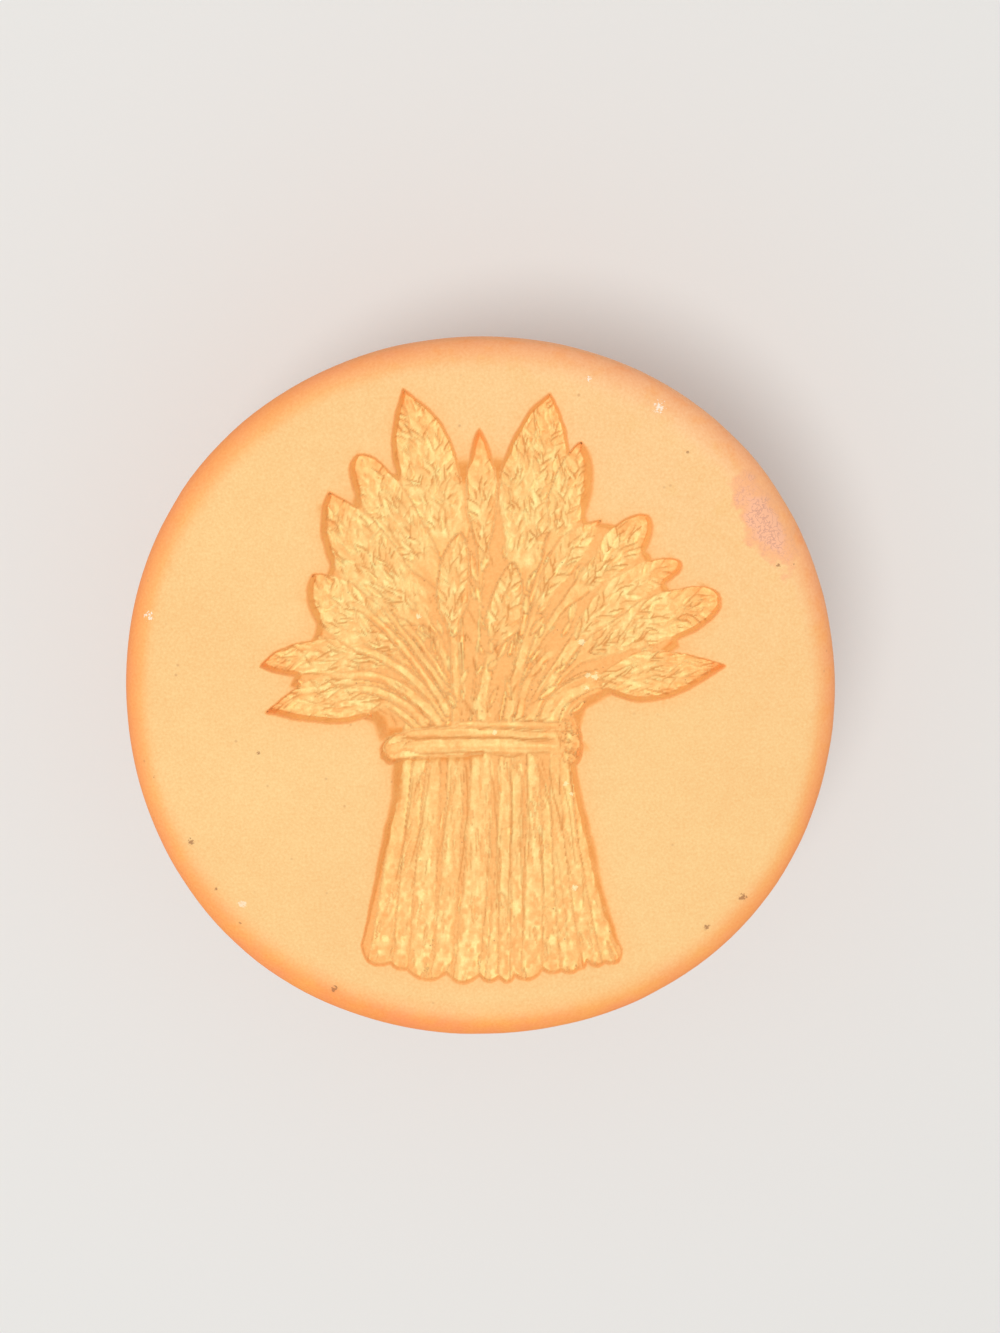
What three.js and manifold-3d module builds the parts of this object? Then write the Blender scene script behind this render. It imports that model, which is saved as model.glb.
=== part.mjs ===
// Cookie stamp in unglazed fired clay: a pressed head whose face holds a hollowed sheaf of wheat,
// luted with slip to a turned knob. It stands on the knob's flat end with its face up.
// Millimetres, +Z out of the face, +Y towards the tips of the ears.

import * as THREE from "three";
import { mergeVertices } from "three/addons/utils/BufferGeometryUtils.js";
import Module from "manifold-3d";

const wasm = await Module();
wasm.setup();
const { lerp } = THREE.MathUtils;

// Driving dimensions of the head
const faceDiameter = 51;
const shoulderRadius = 2.4;
const rimHeight = 7;
const backEdgeRadius = 1.8;
const backRise = 2;
const backLandMargin = 1.6;

// Driving dimensions of the slip joint
const slipThickness = 0.8;
const slipBead = 1.1;

// Driving dimensions of the knob
const knobHeight = 26;
const knobEndDiameter = 19;
const knobEndRounding = 1.4;
const knobBulbDiameter = 23;
const knobBulbHeight = 7.5;
const knobWaistDiameter = 14;
const knobWaistHeight = 19;
const knobRootDiameter = 16.4;

// Driving dimensions of the hollowed sheaf
const sheafMargin = 0.7;
const earBodyDepth = 1.2;
const kernelDepth = 1.7;
const kernelPitch = 2;
const kernelLength = 2.8;
const kernelOverlap = 1.5;
const kernelTilt = 0.3;
const tipKernelShare = 0.45;
const earBellyShare = 0.4;
const stemWidth = 0.8;
const stemDepth = 1.1;
const floorDepth = 0.7;
const strandWidth = 1.1;
const strandDepth = 1.3;
const strandOverlap = 0.15;
const knotWidth = 1.7;
const knotReach = 0.5;
const stalkCount = 13;
const stalkDepth = 1.1;
const stalkOverlap = 1.15;
const tuckUnderBand = 0.3;
const skirtBelly = 0.9;

// How finely turned forms are divided
const headSides = 48;
const knobSides = 32;
const arcSteps = 3;
const curveSteps = 4;
const kernelSides = 4;
const earSides = 6;
const strawSides = 6;
const lengthwiseRings = 4;

// Places that follow from the dimensions
const faceRadius = faceDiameter / 2;
const landRadius = faceRadius - shoulderRadius;
const headBottom = knobHeight + slipThickness;
const rimBottom = headBottom + backRise;
const faceZ = rimBottom + rimHeight;
const slipTopRadius = knobRootDiameter / 2 + slipBead;
const backLandRadius = slipTopRadius + backLandMargin;

// The band of the sheaf, in the sheaf's own drawing, whose middle is the middle of the face
const bandLeft = -6.6;
const bandRight = 6.6;
const bandTop = -1.7;
const bandStrands = 3;
const strandPitch = strandWidth - strandOverlap;
const bandHeight = strandWidth + (bandStrands - 1) * strandPitch;
const bandBottom = bandTop - bandHeight;
const stemFoot = bandTop - tuckUnderBand;

// The rest of the sheaf, drawn in millimetres and scaled with the band to keep its margin to the shoulder.
// Each ear gives its tip, its base, its width and where its stem goes under the band.
const ears = [
  { tip: [-8.0, 17.4], base: [-5.4, 11.4], width: 2.5, tie: -2.4 },
  { tip: [7.8, 17.7], base: [5.1, 9.9], width: 2.9, tie: 2.4 },
  { tip: [-4.3, 22.0], base: [-1.9, 12.7], width: 4.0, tie: -1.4 },
  { tip: [0.8, 19.0], base: [0.5, 11.1], width: 2.0, tie: 0.1 },
  { tip: [5.7, 21.2], base: [2.9, 11.0], width: 4.3, tie: 1.5 },
  { tip: [-10.0, 15.1], base: [-4.6, 7.5], width: 3.2, tie: -3.2 },
  { tip: [12.1, 12.5], base: [8.0, 8.8], width: 2.7, tie: 3.8 },
  { tip: [8.9, 12.6], base: [4.7, 7.8], width: 2.0, tie: 3.0 },
  { tip: [-11.3, 9.4], base: [-5.4, 4.7], width: 2.8, tie: -4.0 },
  { tip: [13.9, 9.2], base: [8.6, 5.8], width: 1.9, tie: 4.5 },
  { tip: [16.8, 6.5], base: [11.4, 5.0], width: 2.6, tie: 5.2 },
  { tip: [17.0, 1.6], base: [9.1, 0.5], width: 3.0, tie: 5.9 },
  { tip: [-15.2, 3.3], base: [-7.6, 3.8], width: 2.6, tie: -4.8 },
  { tip: [-15.1, -0.1], base: [-6.7, 0.2], width: 2.1, tie: -5.5 },
  { tip: [-0.9, 11.7], base: [-1.8, 5.3], width: 2.2, tie: -0.7 },
  { tip: [2.6, 9.6], base: [1.1, 4.4], width: 2.6, tie: 0.8 },
];
// The notches between the ears, which bound the floor that they share
const fanFloor = [
  [-6.4, stemFoot], [-7.0, -1.1], [-10.6, 0.7], [-13.3, 1.7], [-11.3, 5.4], [-10.2, 9.6], [-7.9, 14.7],
  [-5.2, 15.9], [-0.6, 16.6], [1.9, 16.6], [6.8, 16.8], [8.0, 12.3], [9.9, 12.0], [12.1, 9.8],
  [13.4, 7.3], [14.0, 3.2], [9.2, 0.1], [6.8, -0.8], [6.4, stemFoot],
];
const skirtTop = { left: -5.9, right: 6.5, y: bandBottom + tuckUnderBand };
const skirtBottom = { left: -9.2, right: 8.9, y: -19.2 };
const drawnReach = Math.max(...ears.map(({ tip }) => Math.hypot(...tip)));
const sheafScale = (landRadius - sheafMargin) / drawnReach;

// A solid from a three.js geometry, with shared corners merged and empty triangles left out
function solid(geometry) {
  const bare = geometry.clone();
  bare.deleteAttribute("normal");
  bare.deleteAttribute("uv");
  const merged = mergeVertices(bare);
  const triangles = [];
  for (let i = 0; i < merged.index.count; i += 3) {
    const corners = [merged.index.getX(i), merged.index.getX(i + 1), merged.index.getX(i + 2)];
    if (new Set(corners).size === 3) triangles.push(...corners);
  }
  const vertProperties = new Float32Array(merged.attributes.position.array);
  const triVerts = new Uint32Array(triangles);
  return new wasm.Manifold(new wasm.Mesh({ numProp: 3, vertProperties, triVerts }));
}

// A three.js geometry from a solid
function geometryOf(body) {
  const mesh = body.getMesh();
  const geometry = new THREE.BufferGeometry();
  geometry.setAttribute("position", new THREE.BufferAttribute(mesh.vertProperties, 3));
  geometry.setIndex(new THREE.BufferAttribute(mesh.triVerts, 1));
  geometry.computeVertexNormals();
  return geometry;
}

// A turned form: a closed outline of radius and height, spun about Z
function turned(outline, sides) {
  const geometry = new THREE.LatheGeometry(outline, sides);
  return geometry.rotateX(Math.PI / 2);
}

// A point of a flat drawing, or the radius and height of a point of a turned outline
function point(x, y) {
  return new THREE.Vector2(x, y);
}

// A side that leaves one radius and meets the next one upright
function swelling(from, to) {
  const middle = (from.y + to.y) / 2;
  return new THREE.CubicBezierCurve(from, point(from.x, middle), point(to.x, middle), to);
}

// A quarter of a round edge, from a starting angle
function quarterRound(x, y, radius, start) {
  const arc = new THREE.Path();
  arc.absarc(x, y, radius, start, start + Math.PI / 2, false);
  return arc.getPoints(arcSteps);
}

// A seed-shaped tool, pointed at both ends and half sunk into the face
function seed(centre, heading, length, width, depth, sides) {
  const geometry = new THREE.SphereGeometry(1, sides, lengthwiseRings);
  geometry.scale(width / 2, length / 2, depth);
  geometry.rotateZ(heading.angle() - Math.PI / 2);
  return geometry.translate(centre.x, centre.y, 0);
}

// A straw-shaped tool: a tapered rod, half sunk into the face
function straw(from, to, fromWidth, toWidth, depth) {
  const heading = to.clone().sub(from);
  const geometry = new THREE.CylinderGeometry(toWidth / 2, fromWidth / 2, heading.length(), strawSides);
  geometry.scale(1, 1, 2 * depth / Math.max(fromWidth, toWidth));
  geometry.rotateZ(heading.angle() - Math.PI / 2);
  const middle = from.clone().add(to).divideScalar(2);
  return geometry.translate(middle.x, middle.y, 0);
}

// A flat-floored tool from an outline
function floorTool(outline, depth) {
  const shape = new THREE.Shape(outline.map(([x, y]) => point(x, y)));
  const geometry = new THREE.ExtrudeGeometry(shape, { depth: 2 * depth, bevelEnabled: false });
  return geometry.translate(0, 0, -depth);
}

// Half-width of an ear at a share of its length from the base: round to the belly, then tapering to the tip
function earHalfWidth(width, share) {
  const fromBelly = share < earBellyShare
    ? 1 - share / earBellyShare
    : (share - earBellyShare) / (1 - earBellyShare);
  return width / 2 * Math.sqrt(1 - fromBelly * fromBelly);
}

// An ear: a shallow body, two rows of deeper kernels, one kernel at the tip, and the stem down to the band
function earTools({ tip, base, width, tie }) {
  const root = point(...base);
  const axis = point(...tip).sub(root);
  const length = axis.length();
  const across = point(-axis.y, axis.x).normalize();
  const middle = root.clone().addScaledVector(axis, 0.5);
  const tipCentre = point(...tip).addScaledVector(axis, -kernelLength / 2 / length);
  const tools = [
    seed(middle, axis, length, width, earBodyDepth, earSides),
    seed(tipCentre, axis, kernelLength, width * tipKernelShare, kernelDepth, kernelSides),
    straw(point(tie, stemFoot), root, stemWidth, stemWidth, stemDepth),
  ];
  const rows = Math.round(length / kernelPitch);
  for (let row = 0; row < rows - 1; row += 1) {
    const share = (row + 0.5) / rows;
    const halfWidth = earHalfWidth(width, share);
    for (const side of [-1, 1]) {
      const centre = root.clone().addScaledVector(axis, share);
      centre.addScaledVector(across, side * halfWidth / 2);
      const heading = axis.clone().rotateAround(point(0, 0), side * kernelTilt);
      tools.push(seed(centre, heading, kernelLength, halfWidth * kernelOverlap, kernelDepth, kernelSides));
    }
  }
  return tools;
}

// The band: strands of straw side by side, with a knot at each end
function bandTools() {
  const tools = [];
  for (let strand = 0; strand < bandStrands; strand += 1) {
    const y = bandTop - strandWidth / 2 - strand * strandPitch;
    const [left, right] = [point(bandLeft, y), point(bandRight, y)];
    tools.push(straw(left, right, strandWidth, strandWidth, strandDepth));
  }
  for (const x of [bandLeft, bandRight]) {
    const centre = point(x, bandTop - bandHeight / 2);
    tools.push(seed(centre, point(0, 1), bandHeight + knotReach, knotWidth, strandDepth, earSides));
  }
  return tools;
}

// The skirt: stalks that fan out below the band over a shallow floor, each with a round end
function skirtTools() {
  const tools = [];
  const topWidth = (skirtTop.right - skirtTop.left) / stalkCount * stalkOverlap;
  const bottomWidth = (skirtBottom.right - skirtBottom.left) / stalkCount * stalkOverlap;
  for (let stalk = 0; stalk < stalkCount; stalk += 1) {
    const share = (stalk + 0.5) / stalkCount;
    const top = point(lerp(skirtTop.left, skirtTop.right, share), skirtTop.y);
    const belly = skirtBelly * Math.sin(Math.PI * share);
    const bottom = point(lerp(skirtBottom.left, skirtBottom.right, share), skirtBottom.y - belly);
    tools.push(straw(top, bottom, topWidth, bottomWidth, stalkDepth));
    const heading = top.clone().sub(bottom);
    tools.push(seed(bottom, heading, bottomWidth, bottomWidth, stalkDepth, earSides));
  }
  const corners = [
    [skirtTop.left, skirtTop.y],
    [skirtBottom.left, skirtBottom.y],
    [skirtBottom.right, skirtBottom.y],
    [skirtTop.right, skirtTop.y],
  ];
  tools.push(floorTool(corners, floorDepth));
  return tools;
}

// The stamp head: a disc with a rounded shoulder, an upright rim and a back that swells to a flat
function stampHead() {
  const outline = [point(0, headBottom), point(backLandRadius, headBottom)];
  const backEdge = faceRadius - backEdgeRadius;
  const swell = new THREE.QuadraticBezierCurve(
    point(backLandRadius, headBottom),
    point((backLandRadius + backEdge) / 2, rimBottom),
    point(backEdge, rimBottom),
  );
  outline.push(...swell.getPoints(curveSteps).slice(1));
  const lowerEdge = quarterRound(backEdge, rimBottom + backEdgeRadius, backEdgeRadius, -Math.PI / 2);
  const shoulder = quarterRound(landRadius, faceZ - shoulderRadius, shoulderRadius, 0);
  outline.push(...lowerEdge.slice(1), ...shoulder, point(0, faceZ));
  let sheaf = solid(floorTool(fanFloor, floorDepth));
  for (const tool of [...ears.flatMap(earTools), ...bandTools(), ...skirtTools()]) {
    sheaf = sheaf.add(solid(tool));
  }
  const placed = geometryOf(sheaf).scale(sheafScale, sheafScale, 1).translate(0, 0, faceZ);
  return geometryOf(solid(turned(outline, headSides)).subtract(solid(placed)));
}

// The slip joint: a thin bed with the bead wiped round the root of the knob
function slipJoint() {
  const root = knobRootDiameter / 2;
  const bead = new THREE.QuadraticBezierCurve(
    point(root, knobHeight),
    point(root, headBottom),
    point(slipTopRadius, headBottom),
  );
  const outline = [point(0, knobHeight), ...bead.getPoints(arcSteps), point(0, headBottom)];
  return turned(outline, knobSides);
}

// The knob: a flat end to stand on, a full bulb for the palm and a waist for the fingers
function handleKnob() {
  const end = point(knobEndDiameter / 2, knobEndRounding);
  const endEdge = quarterRound(end.x - knobEndRounding, end.y, knobEndRounding, -Math.PI / 2);
  const bulb = point(knobBulbDiameter / 2, knobBulbHeight);
  const waist = point(knobWaistDiameter / 2, knobWaistHeight);
  const root = point(knobRootDiameter / 2, knobHeight);
  const outline = [point(0, 0), ...endEdge];
  for (const [from, to] of [[end, bulb], [bulb, waist], [waist, root]]) {
    outline.push(...swelling(from, to).getPoints(curveSteps).slice(1));
  }
  outline.push(point(0, knobHeight));
  return turned(outline, knobSides);
}

function fired(name, geometry, color) {
  const material = new THREE.MeshStandardMaterial({ color, roughness: 0.85, metalness: 0 });
  const mesh = new THREE.Mesh(geometry, material);
  mesh.name = name;
  return mesh;
}

const cookieStamp = new THREE.Group();
cookieStamp.add(fired("stamp_head", stampHead(), 0xf3bd85));
cookieStamp.add(fired("slip_joint", slipJoint(), 0xe3a066));
cookieStamp.add(fired("handle_knob", handleKnob(), 0xeeb47b));

export default cookieStamp;
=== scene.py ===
# %% [markdown]
# # A clay cookie stamp with a sheaf of wheat
# The real stamp is red clay, fired once and never glazed. A disc was pressed into a mould that
# left a hollow sheaf of wheat in its face, a knob was turned for the hand, and wet clay (slip)
# luted the two together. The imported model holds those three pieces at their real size. It is
# the fixed frame of this lesson: it says where each piece is, and the meshes and finishes
# made here take their places from it.

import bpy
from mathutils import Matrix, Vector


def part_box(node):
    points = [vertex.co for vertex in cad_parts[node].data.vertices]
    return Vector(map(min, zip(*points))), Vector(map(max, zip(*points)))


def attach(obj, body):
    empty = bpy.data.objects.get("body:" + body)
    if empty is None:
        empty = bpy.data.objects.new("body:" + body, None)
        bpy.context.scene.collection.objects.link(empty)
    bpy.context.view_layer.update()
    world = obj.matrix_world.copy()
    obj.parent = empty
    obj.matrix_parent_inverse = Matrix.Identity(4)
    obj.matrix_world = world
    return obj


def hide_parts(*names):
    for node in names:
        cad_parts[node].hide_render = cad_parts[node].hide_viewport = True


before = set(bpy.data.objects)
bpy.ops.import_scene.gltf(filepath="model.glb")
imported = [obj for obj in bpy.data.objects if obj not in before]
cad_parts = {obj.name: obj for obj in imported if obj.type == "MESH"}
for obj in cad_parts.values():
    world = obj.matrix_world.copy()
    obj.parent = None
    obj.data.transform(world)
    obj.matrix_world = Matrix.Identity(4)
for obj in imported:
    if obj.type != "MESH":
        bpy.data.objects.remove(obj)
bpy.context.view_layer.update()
print("pieces in the frame:", sorted(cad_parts))

# %% Bring in the mesh tools and read the frame's sizes
import math

import bmesh
import bpy
import numpy as np
from mathutils import Matrix, Vector

MM = 0.001

head_low, head_high = (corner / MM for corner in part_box("stamp_head"))
slip_low, slip_high = (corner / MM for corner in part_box("slip_joint"))
knob_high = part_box("handle_knob")[1] / MM
FACE_RADIUS = head_high.x
FACE_HEIGHT = head_high.z
print("face radius %.1f mm at a height of %.1f mm" % (FACE_RADIUS, FACE_HEIGHT))

# %% [markdown]
# ## The camera
# The stamp was photographed from close by, nearly square to its face, from a little towards
# the ears of the sheaf. The sheaf leans slightly in the picture. The model's +Y runs along the
# sheaf, so the lean becomes a small turn of the camera. It could be tilted with angles, but
# aiming it at a point and naming the picture's upward direction keeps each value readable.

# %% Aim the camera as the photograph was taken
CAMERA_DISTANCE = 150
CAMERA_TILT = math.radians(11.6)
SHEAF_LEAN = math.radians(2.7)
AIM_ACROSS = 1.46
AIM_UP = 2.51
LENS = 57.15

picture_up = Vector((math.sin(SHEAF_LEAN), math.cos(SHEAF_LEAN), 0))
face_centre = Vector((0, 0, FACE_HEIGHT))
eye = face_centre + CAMERA_DISTANCE * (
    picture_up * math.sin(CAMERA_TILT) + Vector((0, 0, math.cos(CAMERA_TILT)))
)
aim = Vector((AIM_ACROSS, AIM_UP, FACE_HEIGHT))
backward = (eye - aim).normalized()
rightward = picture_up.cross(backward).normalized()
upward = backward.cross(rightward)

camera = bpy.data.objects.new("camera", bpy.data.cameras.new("camera"))
bpy.context.scene.collection.objects.link(camera)
camera.matrix_world = Matrix.Translation(eye * MM) @ Matrix(
    (rightward, upward, backward)
).transposed().to_4x4()
camera.data.lens = LENS
camera.data.clip_start = MM
bpy.context.scene.camera = camera
print("camera %.0f mm from the face, tilted %.1f degrees" % (CAMERA_DISTANCE, math.degrees(CAMERA_TILT)))

# %% [markdown]
# ## Unevenness
# Nothing pressed by hand is quite even. A grid of random heights, blended smoothly from point
# to point, gives lumps of any size. One seed for each use keeps every run the same.

# %% Make smooth lumps from a grid of random heights
LUMP_TABLE = 64


def lumps(x, y, size, seed):
    """Unevenness from -1 to 1 at each x, y, with lumps about size across."""
    table = np.random.default_rng(seed).uniform(-1, 1, (LUMP_TABLE, LUMP_TABLE))
    column, row = np.floor(x / size).astype(int), np.floor(y / size).astype(int)
    across, up = x / size - column, y / size - row
    across, up = eased(across), eased(up)
    left, right = column % LUMP_TABLE, (column + 1) % LUMP_TABLE
    low, high = row % LUMP_TABLE, (row + 1) % LUMP_TABLE
    below = table[left, low] * (1 - across) + table[right, low] * across
    above = table[left, high] * (1 - across) + table[right, high] * across
    return below * (1 - up) + above * up


def eased(value):
    """0 below 0 and 1 above 1, with a smooth climb between."""
    value = np.clip(value, 0, 1)
    return value * value * (3 - 2 * value)


print("one point's height among the lumps:", lumps(np.array([0.3]), np.array([0.2]), 1, 1).round(3))

# %% [markdown]
# ## Pressing strokes into the face
# The mould's sheaf was cut stroke by stroke: an ear, a grain, a stem, a straw, a twist of the
# band. Each stroke leaves a hollow in the clay, with a thin ridge where it meets the next and
# a wall where it meets the bare face. Boolean cuts would give those ridges but leave long
# sliver faces, and sculpting by hand can't be repeated, so here the face's own fine grid of
# points is moved down by arithmetic. Strokes are laid from back to front, and a later stroke
# replaces what lies under it, as the front straws of a sheaf hide the ones behind.

# %% Measure the way along a stroke's path
def curve(start, middle, end, steps=12):
    """Points on the smooth arc from start to end that leans towards middle."""
    shares = np.linspace(0, 1, steps + 1)[:, None]
    start, middle, end = (np.array(p, float) for p in (start, middle, end))
    return (1 - shares) ** 2 * start + 2 * shares * (1 - shares) * middle + shares ** 2 * end


def through(start, halfway, end):
    """Points on the smooth arc from start to end that passes through halfway."""
    start, halfway, end = (np.array(p, float) for p in (start, halfway, end))
    return curve(start, 2 * halfway - (start + end) / 2, end)


def along(path, x, y):
    """How far each point is to the right of the path, its share of the length, and the length."""
    nearest = np.full(x.shape, np.inf)
    across, run = np.zeros(x.shape), np.zeros(x.shape)
    total = 0.0
    for (ax, ay), (bx, by) in zip(path, path[1:]):
        dx, dy = bx - ax, by - ay
        piece = math.hypot(dx, dy)
        share = np.clip(((x - ax) * dx + (y - ay) * dy) / piece ** 2, 0, 1)
        off_x, off_y = x - ax - share * dx, y - ay - share * dy
        distance = np.hypot(off_x, off_y)
        closer = distance < nearest
        nearest = np.where(closer, distance, nearest)
        side = np.where(dy * off_x - dx * off_y < 0, -1, 1)
        across = np.where(closer, side * distance, across)
        run = np.where(closer, total + share * piece, run)
        total += piece
    return across, run / total, total


def inside_outline(corners, x, y):
    """Whether each point lies inside a closed outline: it then has an odd number of sides to its right."""
    inside = np.zeros(x.shape, bool)
    for (ax, ay), (bx, by) in zip(corners, np.roll(corners, -1, axis=0)):
        if ay != by:
            inside ^= ((ay > y) != (by > y)) & (x < (bx - ax) * (y - ay) / (by - ay) + ax)
    return inside


print("an arc of %d points" % len(curve((0, 0), (1, 2), (4, 0))))

# %% Lay strokes and floors on the face's points
RIDGE_RUN = 0.14
THIN_WALLS = (RIDGE_RUN, RIDGE_RUN)
SLOPE_STEP = 0.02
SCRATCH_FADE = 0.5
SCRATCH_HEIGHT = 0.05
SCRATCH_STARTS = 0.2
TRIM_REACH = 2.0
WIDTH_CHECKS = np.linspace(0, 1, 17)
TINY = 0.001


class PressedFace:
    """How deep each point of the face is pressed, in mm, and its shares of a crest (paler clay and painted
    highlight), a line (painted crease shade) and a wall (painted wall shade).
    """

    def __init__(self, x, y):
        self.x, self.y = x, y
        self.depth, self.crest, self.line, self.wall = (np.zeros(x.shape) for _ in range(4))

    def near(self, path, reach):
        """The points inside the path's box, widened by reach."""
        low, high = path.min(axis=0) - reach, path.max(axis=0) + reach
        inside = (self.x > low[0]) & (self.x < high[0]) & (self.y > low[1]) & (self.y < high[1])
        return np.flatnonzero(inside)

    def outlined(self, corners, reach):
        """The points near a closed outline: which, x, y, how far from its line and whether inside."""
        here = self.near(corners, reach)
        x, y = self.x[here], self.y[here]
        across = np.abs(along(np.vstack([corners, corners[:1]]), x, y)[0])
        return here, x, y, across, inside_outline(corners, x, y)

    def stroke(self, path, half_width, relief, ridge, walls=THIN_WALLS, merge=0.01):
        """Presses a hollow along path, over what is there already.

        half_width follows the share of the way. relief gives depth, crest and line from the way
        run, the way across, the half width and the length. ridge is how deep the hollow meets
        other hollows. walls are the runs of its left and right wall to the bare face, and merge
        is the way it takes at its start to part from what is behind it.
        """
        path = np.array(path, float)
        here = self.near(path, half_width(WIDTH_CHECKS).max())
        across, share, length = along(path, self.x[here], self.y[here])
        half = half_width(share)
        before, after = np.clip(share - SLOPE_STEP, 0, 1), np.clip(share + SLOPE_STEP, 0, 1)
        slope = (half_width(after) - half_width(before)) / ((after - before) * length)
        inset = (half - np.abs(across)) / np.sqrt(1 + slope ** 2)
        edge = ridge(share)
        behind = np.minimum(self.depth[here], edge)
        bareness = 1 - eased(behind / edge)
        run = RIDGE_RUN + (np.where(across < 0, *walls) - RIDGE_RUN) * bareness
        fall = eased(inset / run)
        depth, crest, line = relief(share * length, across, half, length)
        share_of_new = np.where(inset > 0, eased(share * length / merge), 0)
        for values, new in (
            (self.depth, behind + (depth - behind) * fall),
            (self.crest, crest * fall),
            (self.line, line * (1 - bareness * (1 - fall ** 3))),
            (self.wall, bareness * wall_shade_share(inset, run)),
        ):
            values[here] += (new - values[here]) * share_of_new

    def basin(self, corners, depth, run, crest=0.0, level=False):
        """Sinks the bare floor inside a closed outline, with a wall that slopes over run.

        With level, the floor also wipes out whatever is deeper there.
        """
        here, x, y, across, inside = self.outlined(np.array(corners, float), 0.0)
        sunk = np.where(inside, depth(x, y) * eased(across / run(x, y)), 0)
        bare = inside & (self.depth[here] < sunk)
        self.wall[here] = np.where(bare, wall_shade_share(across, run(x, y)), self.wall[here])
        self.depth[here] = np.maximum(self.depth[here], sunk)
        if level:
            self.depth[here] = np.where(inside, np.minimum(self.depth[here], depth(x, y)), self.depth[here])
            self.crest[here] = np.where(inside, crest, self.crest[here])
            self.line[here] = np.where(inside, 0, self.line[here])

    def trim(self, corners, run):
        """Fills in all that lies outside a closed outline, with a wall inside it that slopes over run."""
        here, x, y, across, inside = self.outlined(np.array(corners, float), TRIM_REACH)
        fall = np.where(inside, eased(across / run(x, y)), 0)
        for values, kept in ((self.depth, fall), (self.crest, fall ** 2), (self.line, fall)):
            values[here] *= kept
        self.wall[here] = np.where(inside, wall_shade_share(across, run(x, y)), 0)

    def scratch(self, path, half, strength):
        """Draws a thin line of painted crease shade along path, standing a little proud of the hollow it
        crosses.
        """
        path = np.array(path, float)
        here = self.near(path, half)
        across, share, length = along(path, self.x[here], self.y[here])
        ends = eased(np.minimum(share, 1 - share) * length / SCRATCH_FADE)
        held = eased(self.depth[here] / SCRATCH_STARTS - 1) * (1 - self.wall[here])
        tone = strength * eased(1.3 * (1 - np.abs(across) / half)) * ends * held
        self.line[here] = np.maximum(self.line[here], tone)
        self.depth[here] -= SCRATCH_HEIGHT * tone


print("a plain wall runs over %.2f mm" % RIDGE_RUN)

# %% Say how a stroke's wall, width and relief run
THIN_WALL_SHADE = 0.45
BROAD_WALL = 0.25


def wall_shade_share(inset, run):
    """How much painted wall shade a point inset from a hollow's edge gets: most near a broad wall's foot.
    """
    way = inset / run
    breadth = THIN_WALL_SHADE + (1 - THIN_WALL_SHADE) * eased((run - RIDGE_RUN) / BROAD_WALL)
    return breadth * eased(way / 0.5) * (1 - eased((way - 0.9) / 0.35)) * (inset > 0)


def steady(value):
    """The same value all along a stroke."""
    return lambda share: np.full(np.shape(share), float(value))


def flat(value):
    """The same value all over a floor."""
    return lambda x, y: np.full(np.shape(x), float(value))


def fading(first, last):
    """A value that goes evenly from first to last along a stroke."""
    return lambda share: first + (last - first) * share


def pointed(half):
    """Half the width of a stroke that is pointed at both ends and widest before its middle."""
    return lambda share: half * 4 * share * (1 - share) * (1.25 - 0.5 * share)


NOSE = 0.12
NOSE_TIP = 0.02


def nosed(half):
    """Half the width of a strand with a round start."""
    return lambda share: half * np.sqrt(np.clip(share / NOSE, NOSE_TIP, 1))


EDGE_LINE = 0.1
STREAK_WIDTH = 0.2
STREAK_LENGTH = 2.0
CRUMB_WIDTH = 0.3
CRUMB_LENGTH = 0.55
STREAK_DEPTH = 0.04
CRUMB_DEPTH = 0.07


def reach_of(across, half):
    """How far across a stroke a point is: 0 on its middle line and 1 at its edge."""
    return np.clip(np.abs(across) / np.maximum(half, TINY), 0, 1)


def edge_shade_line(reach, half):
    """A line of painted crease shade along both edges of a stroke."""
    return eased((reach - 1) * half / EDGE_LINE + 1)


def rounded(first, last, swell, crest=1.0, seed=0, edged=1.0):
    """The relief of a plain stroke: round across, from first to last along, finely streaked.

    Its edge line of painted crease shade comes and goes, and is darker on one side, which the seed picks.
    """

    def relief(run, across, half, length):
        reach = reach_of(across, half)
        streaks = lumps(across / STREAK_WIDTH + seed, run / STREAK_LENGTH, 1.0, 11)
        crumbs = lumps(across / CRUMB_WIDTH, run / CRUMB_LENGTH + seed, 1.0, 12)
        depth = first + (last - first) * run / length + swell * np.sqrt(1 - reach ** 3)
        depth = depth + STREAK_DEPTH * streaks + CRUMB_DEPTH * crumbs
        broken = 0.5 + 0.8 * lumps(run, across + seed, 1.3, 16)
        shaded = across if seed % 2 < 1 else -across
        one_sided = 0.3 + 0.7 * eased(0.5 + shaded / np.maximum(half, TINY))
        line = edged * edge_shade_line(reach, half) * broken * one_sided
        pale = crest * (1 - reach ** 8) * (0.7 + 0.7 * streaks + 0.4 * crumbs)
        return depth, np.clip(pale, 0, 1), np.clip(line, 0, 1)

    return relief


print("streaks %.1f mm wide and %.1f mm long" % (STREAK_WIDTH, STREAK_LENGTH))

# %% [markdown]
# ## The ears
# An ear of wheat is a spindle of grains in pointed husks that overlap like tiles and point up
# and out. Each ear has its tip and foot on the face, its width, how much it bows, where it is
# widest and how pointed it is. Slim ears in front show their grains as neat barbs, the broad
# ones behind are crumpled, and most that lie sideways show long strands. The grains are laid
# by a loop, row by row from the tip down, none quite like its neighbour.

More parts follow.
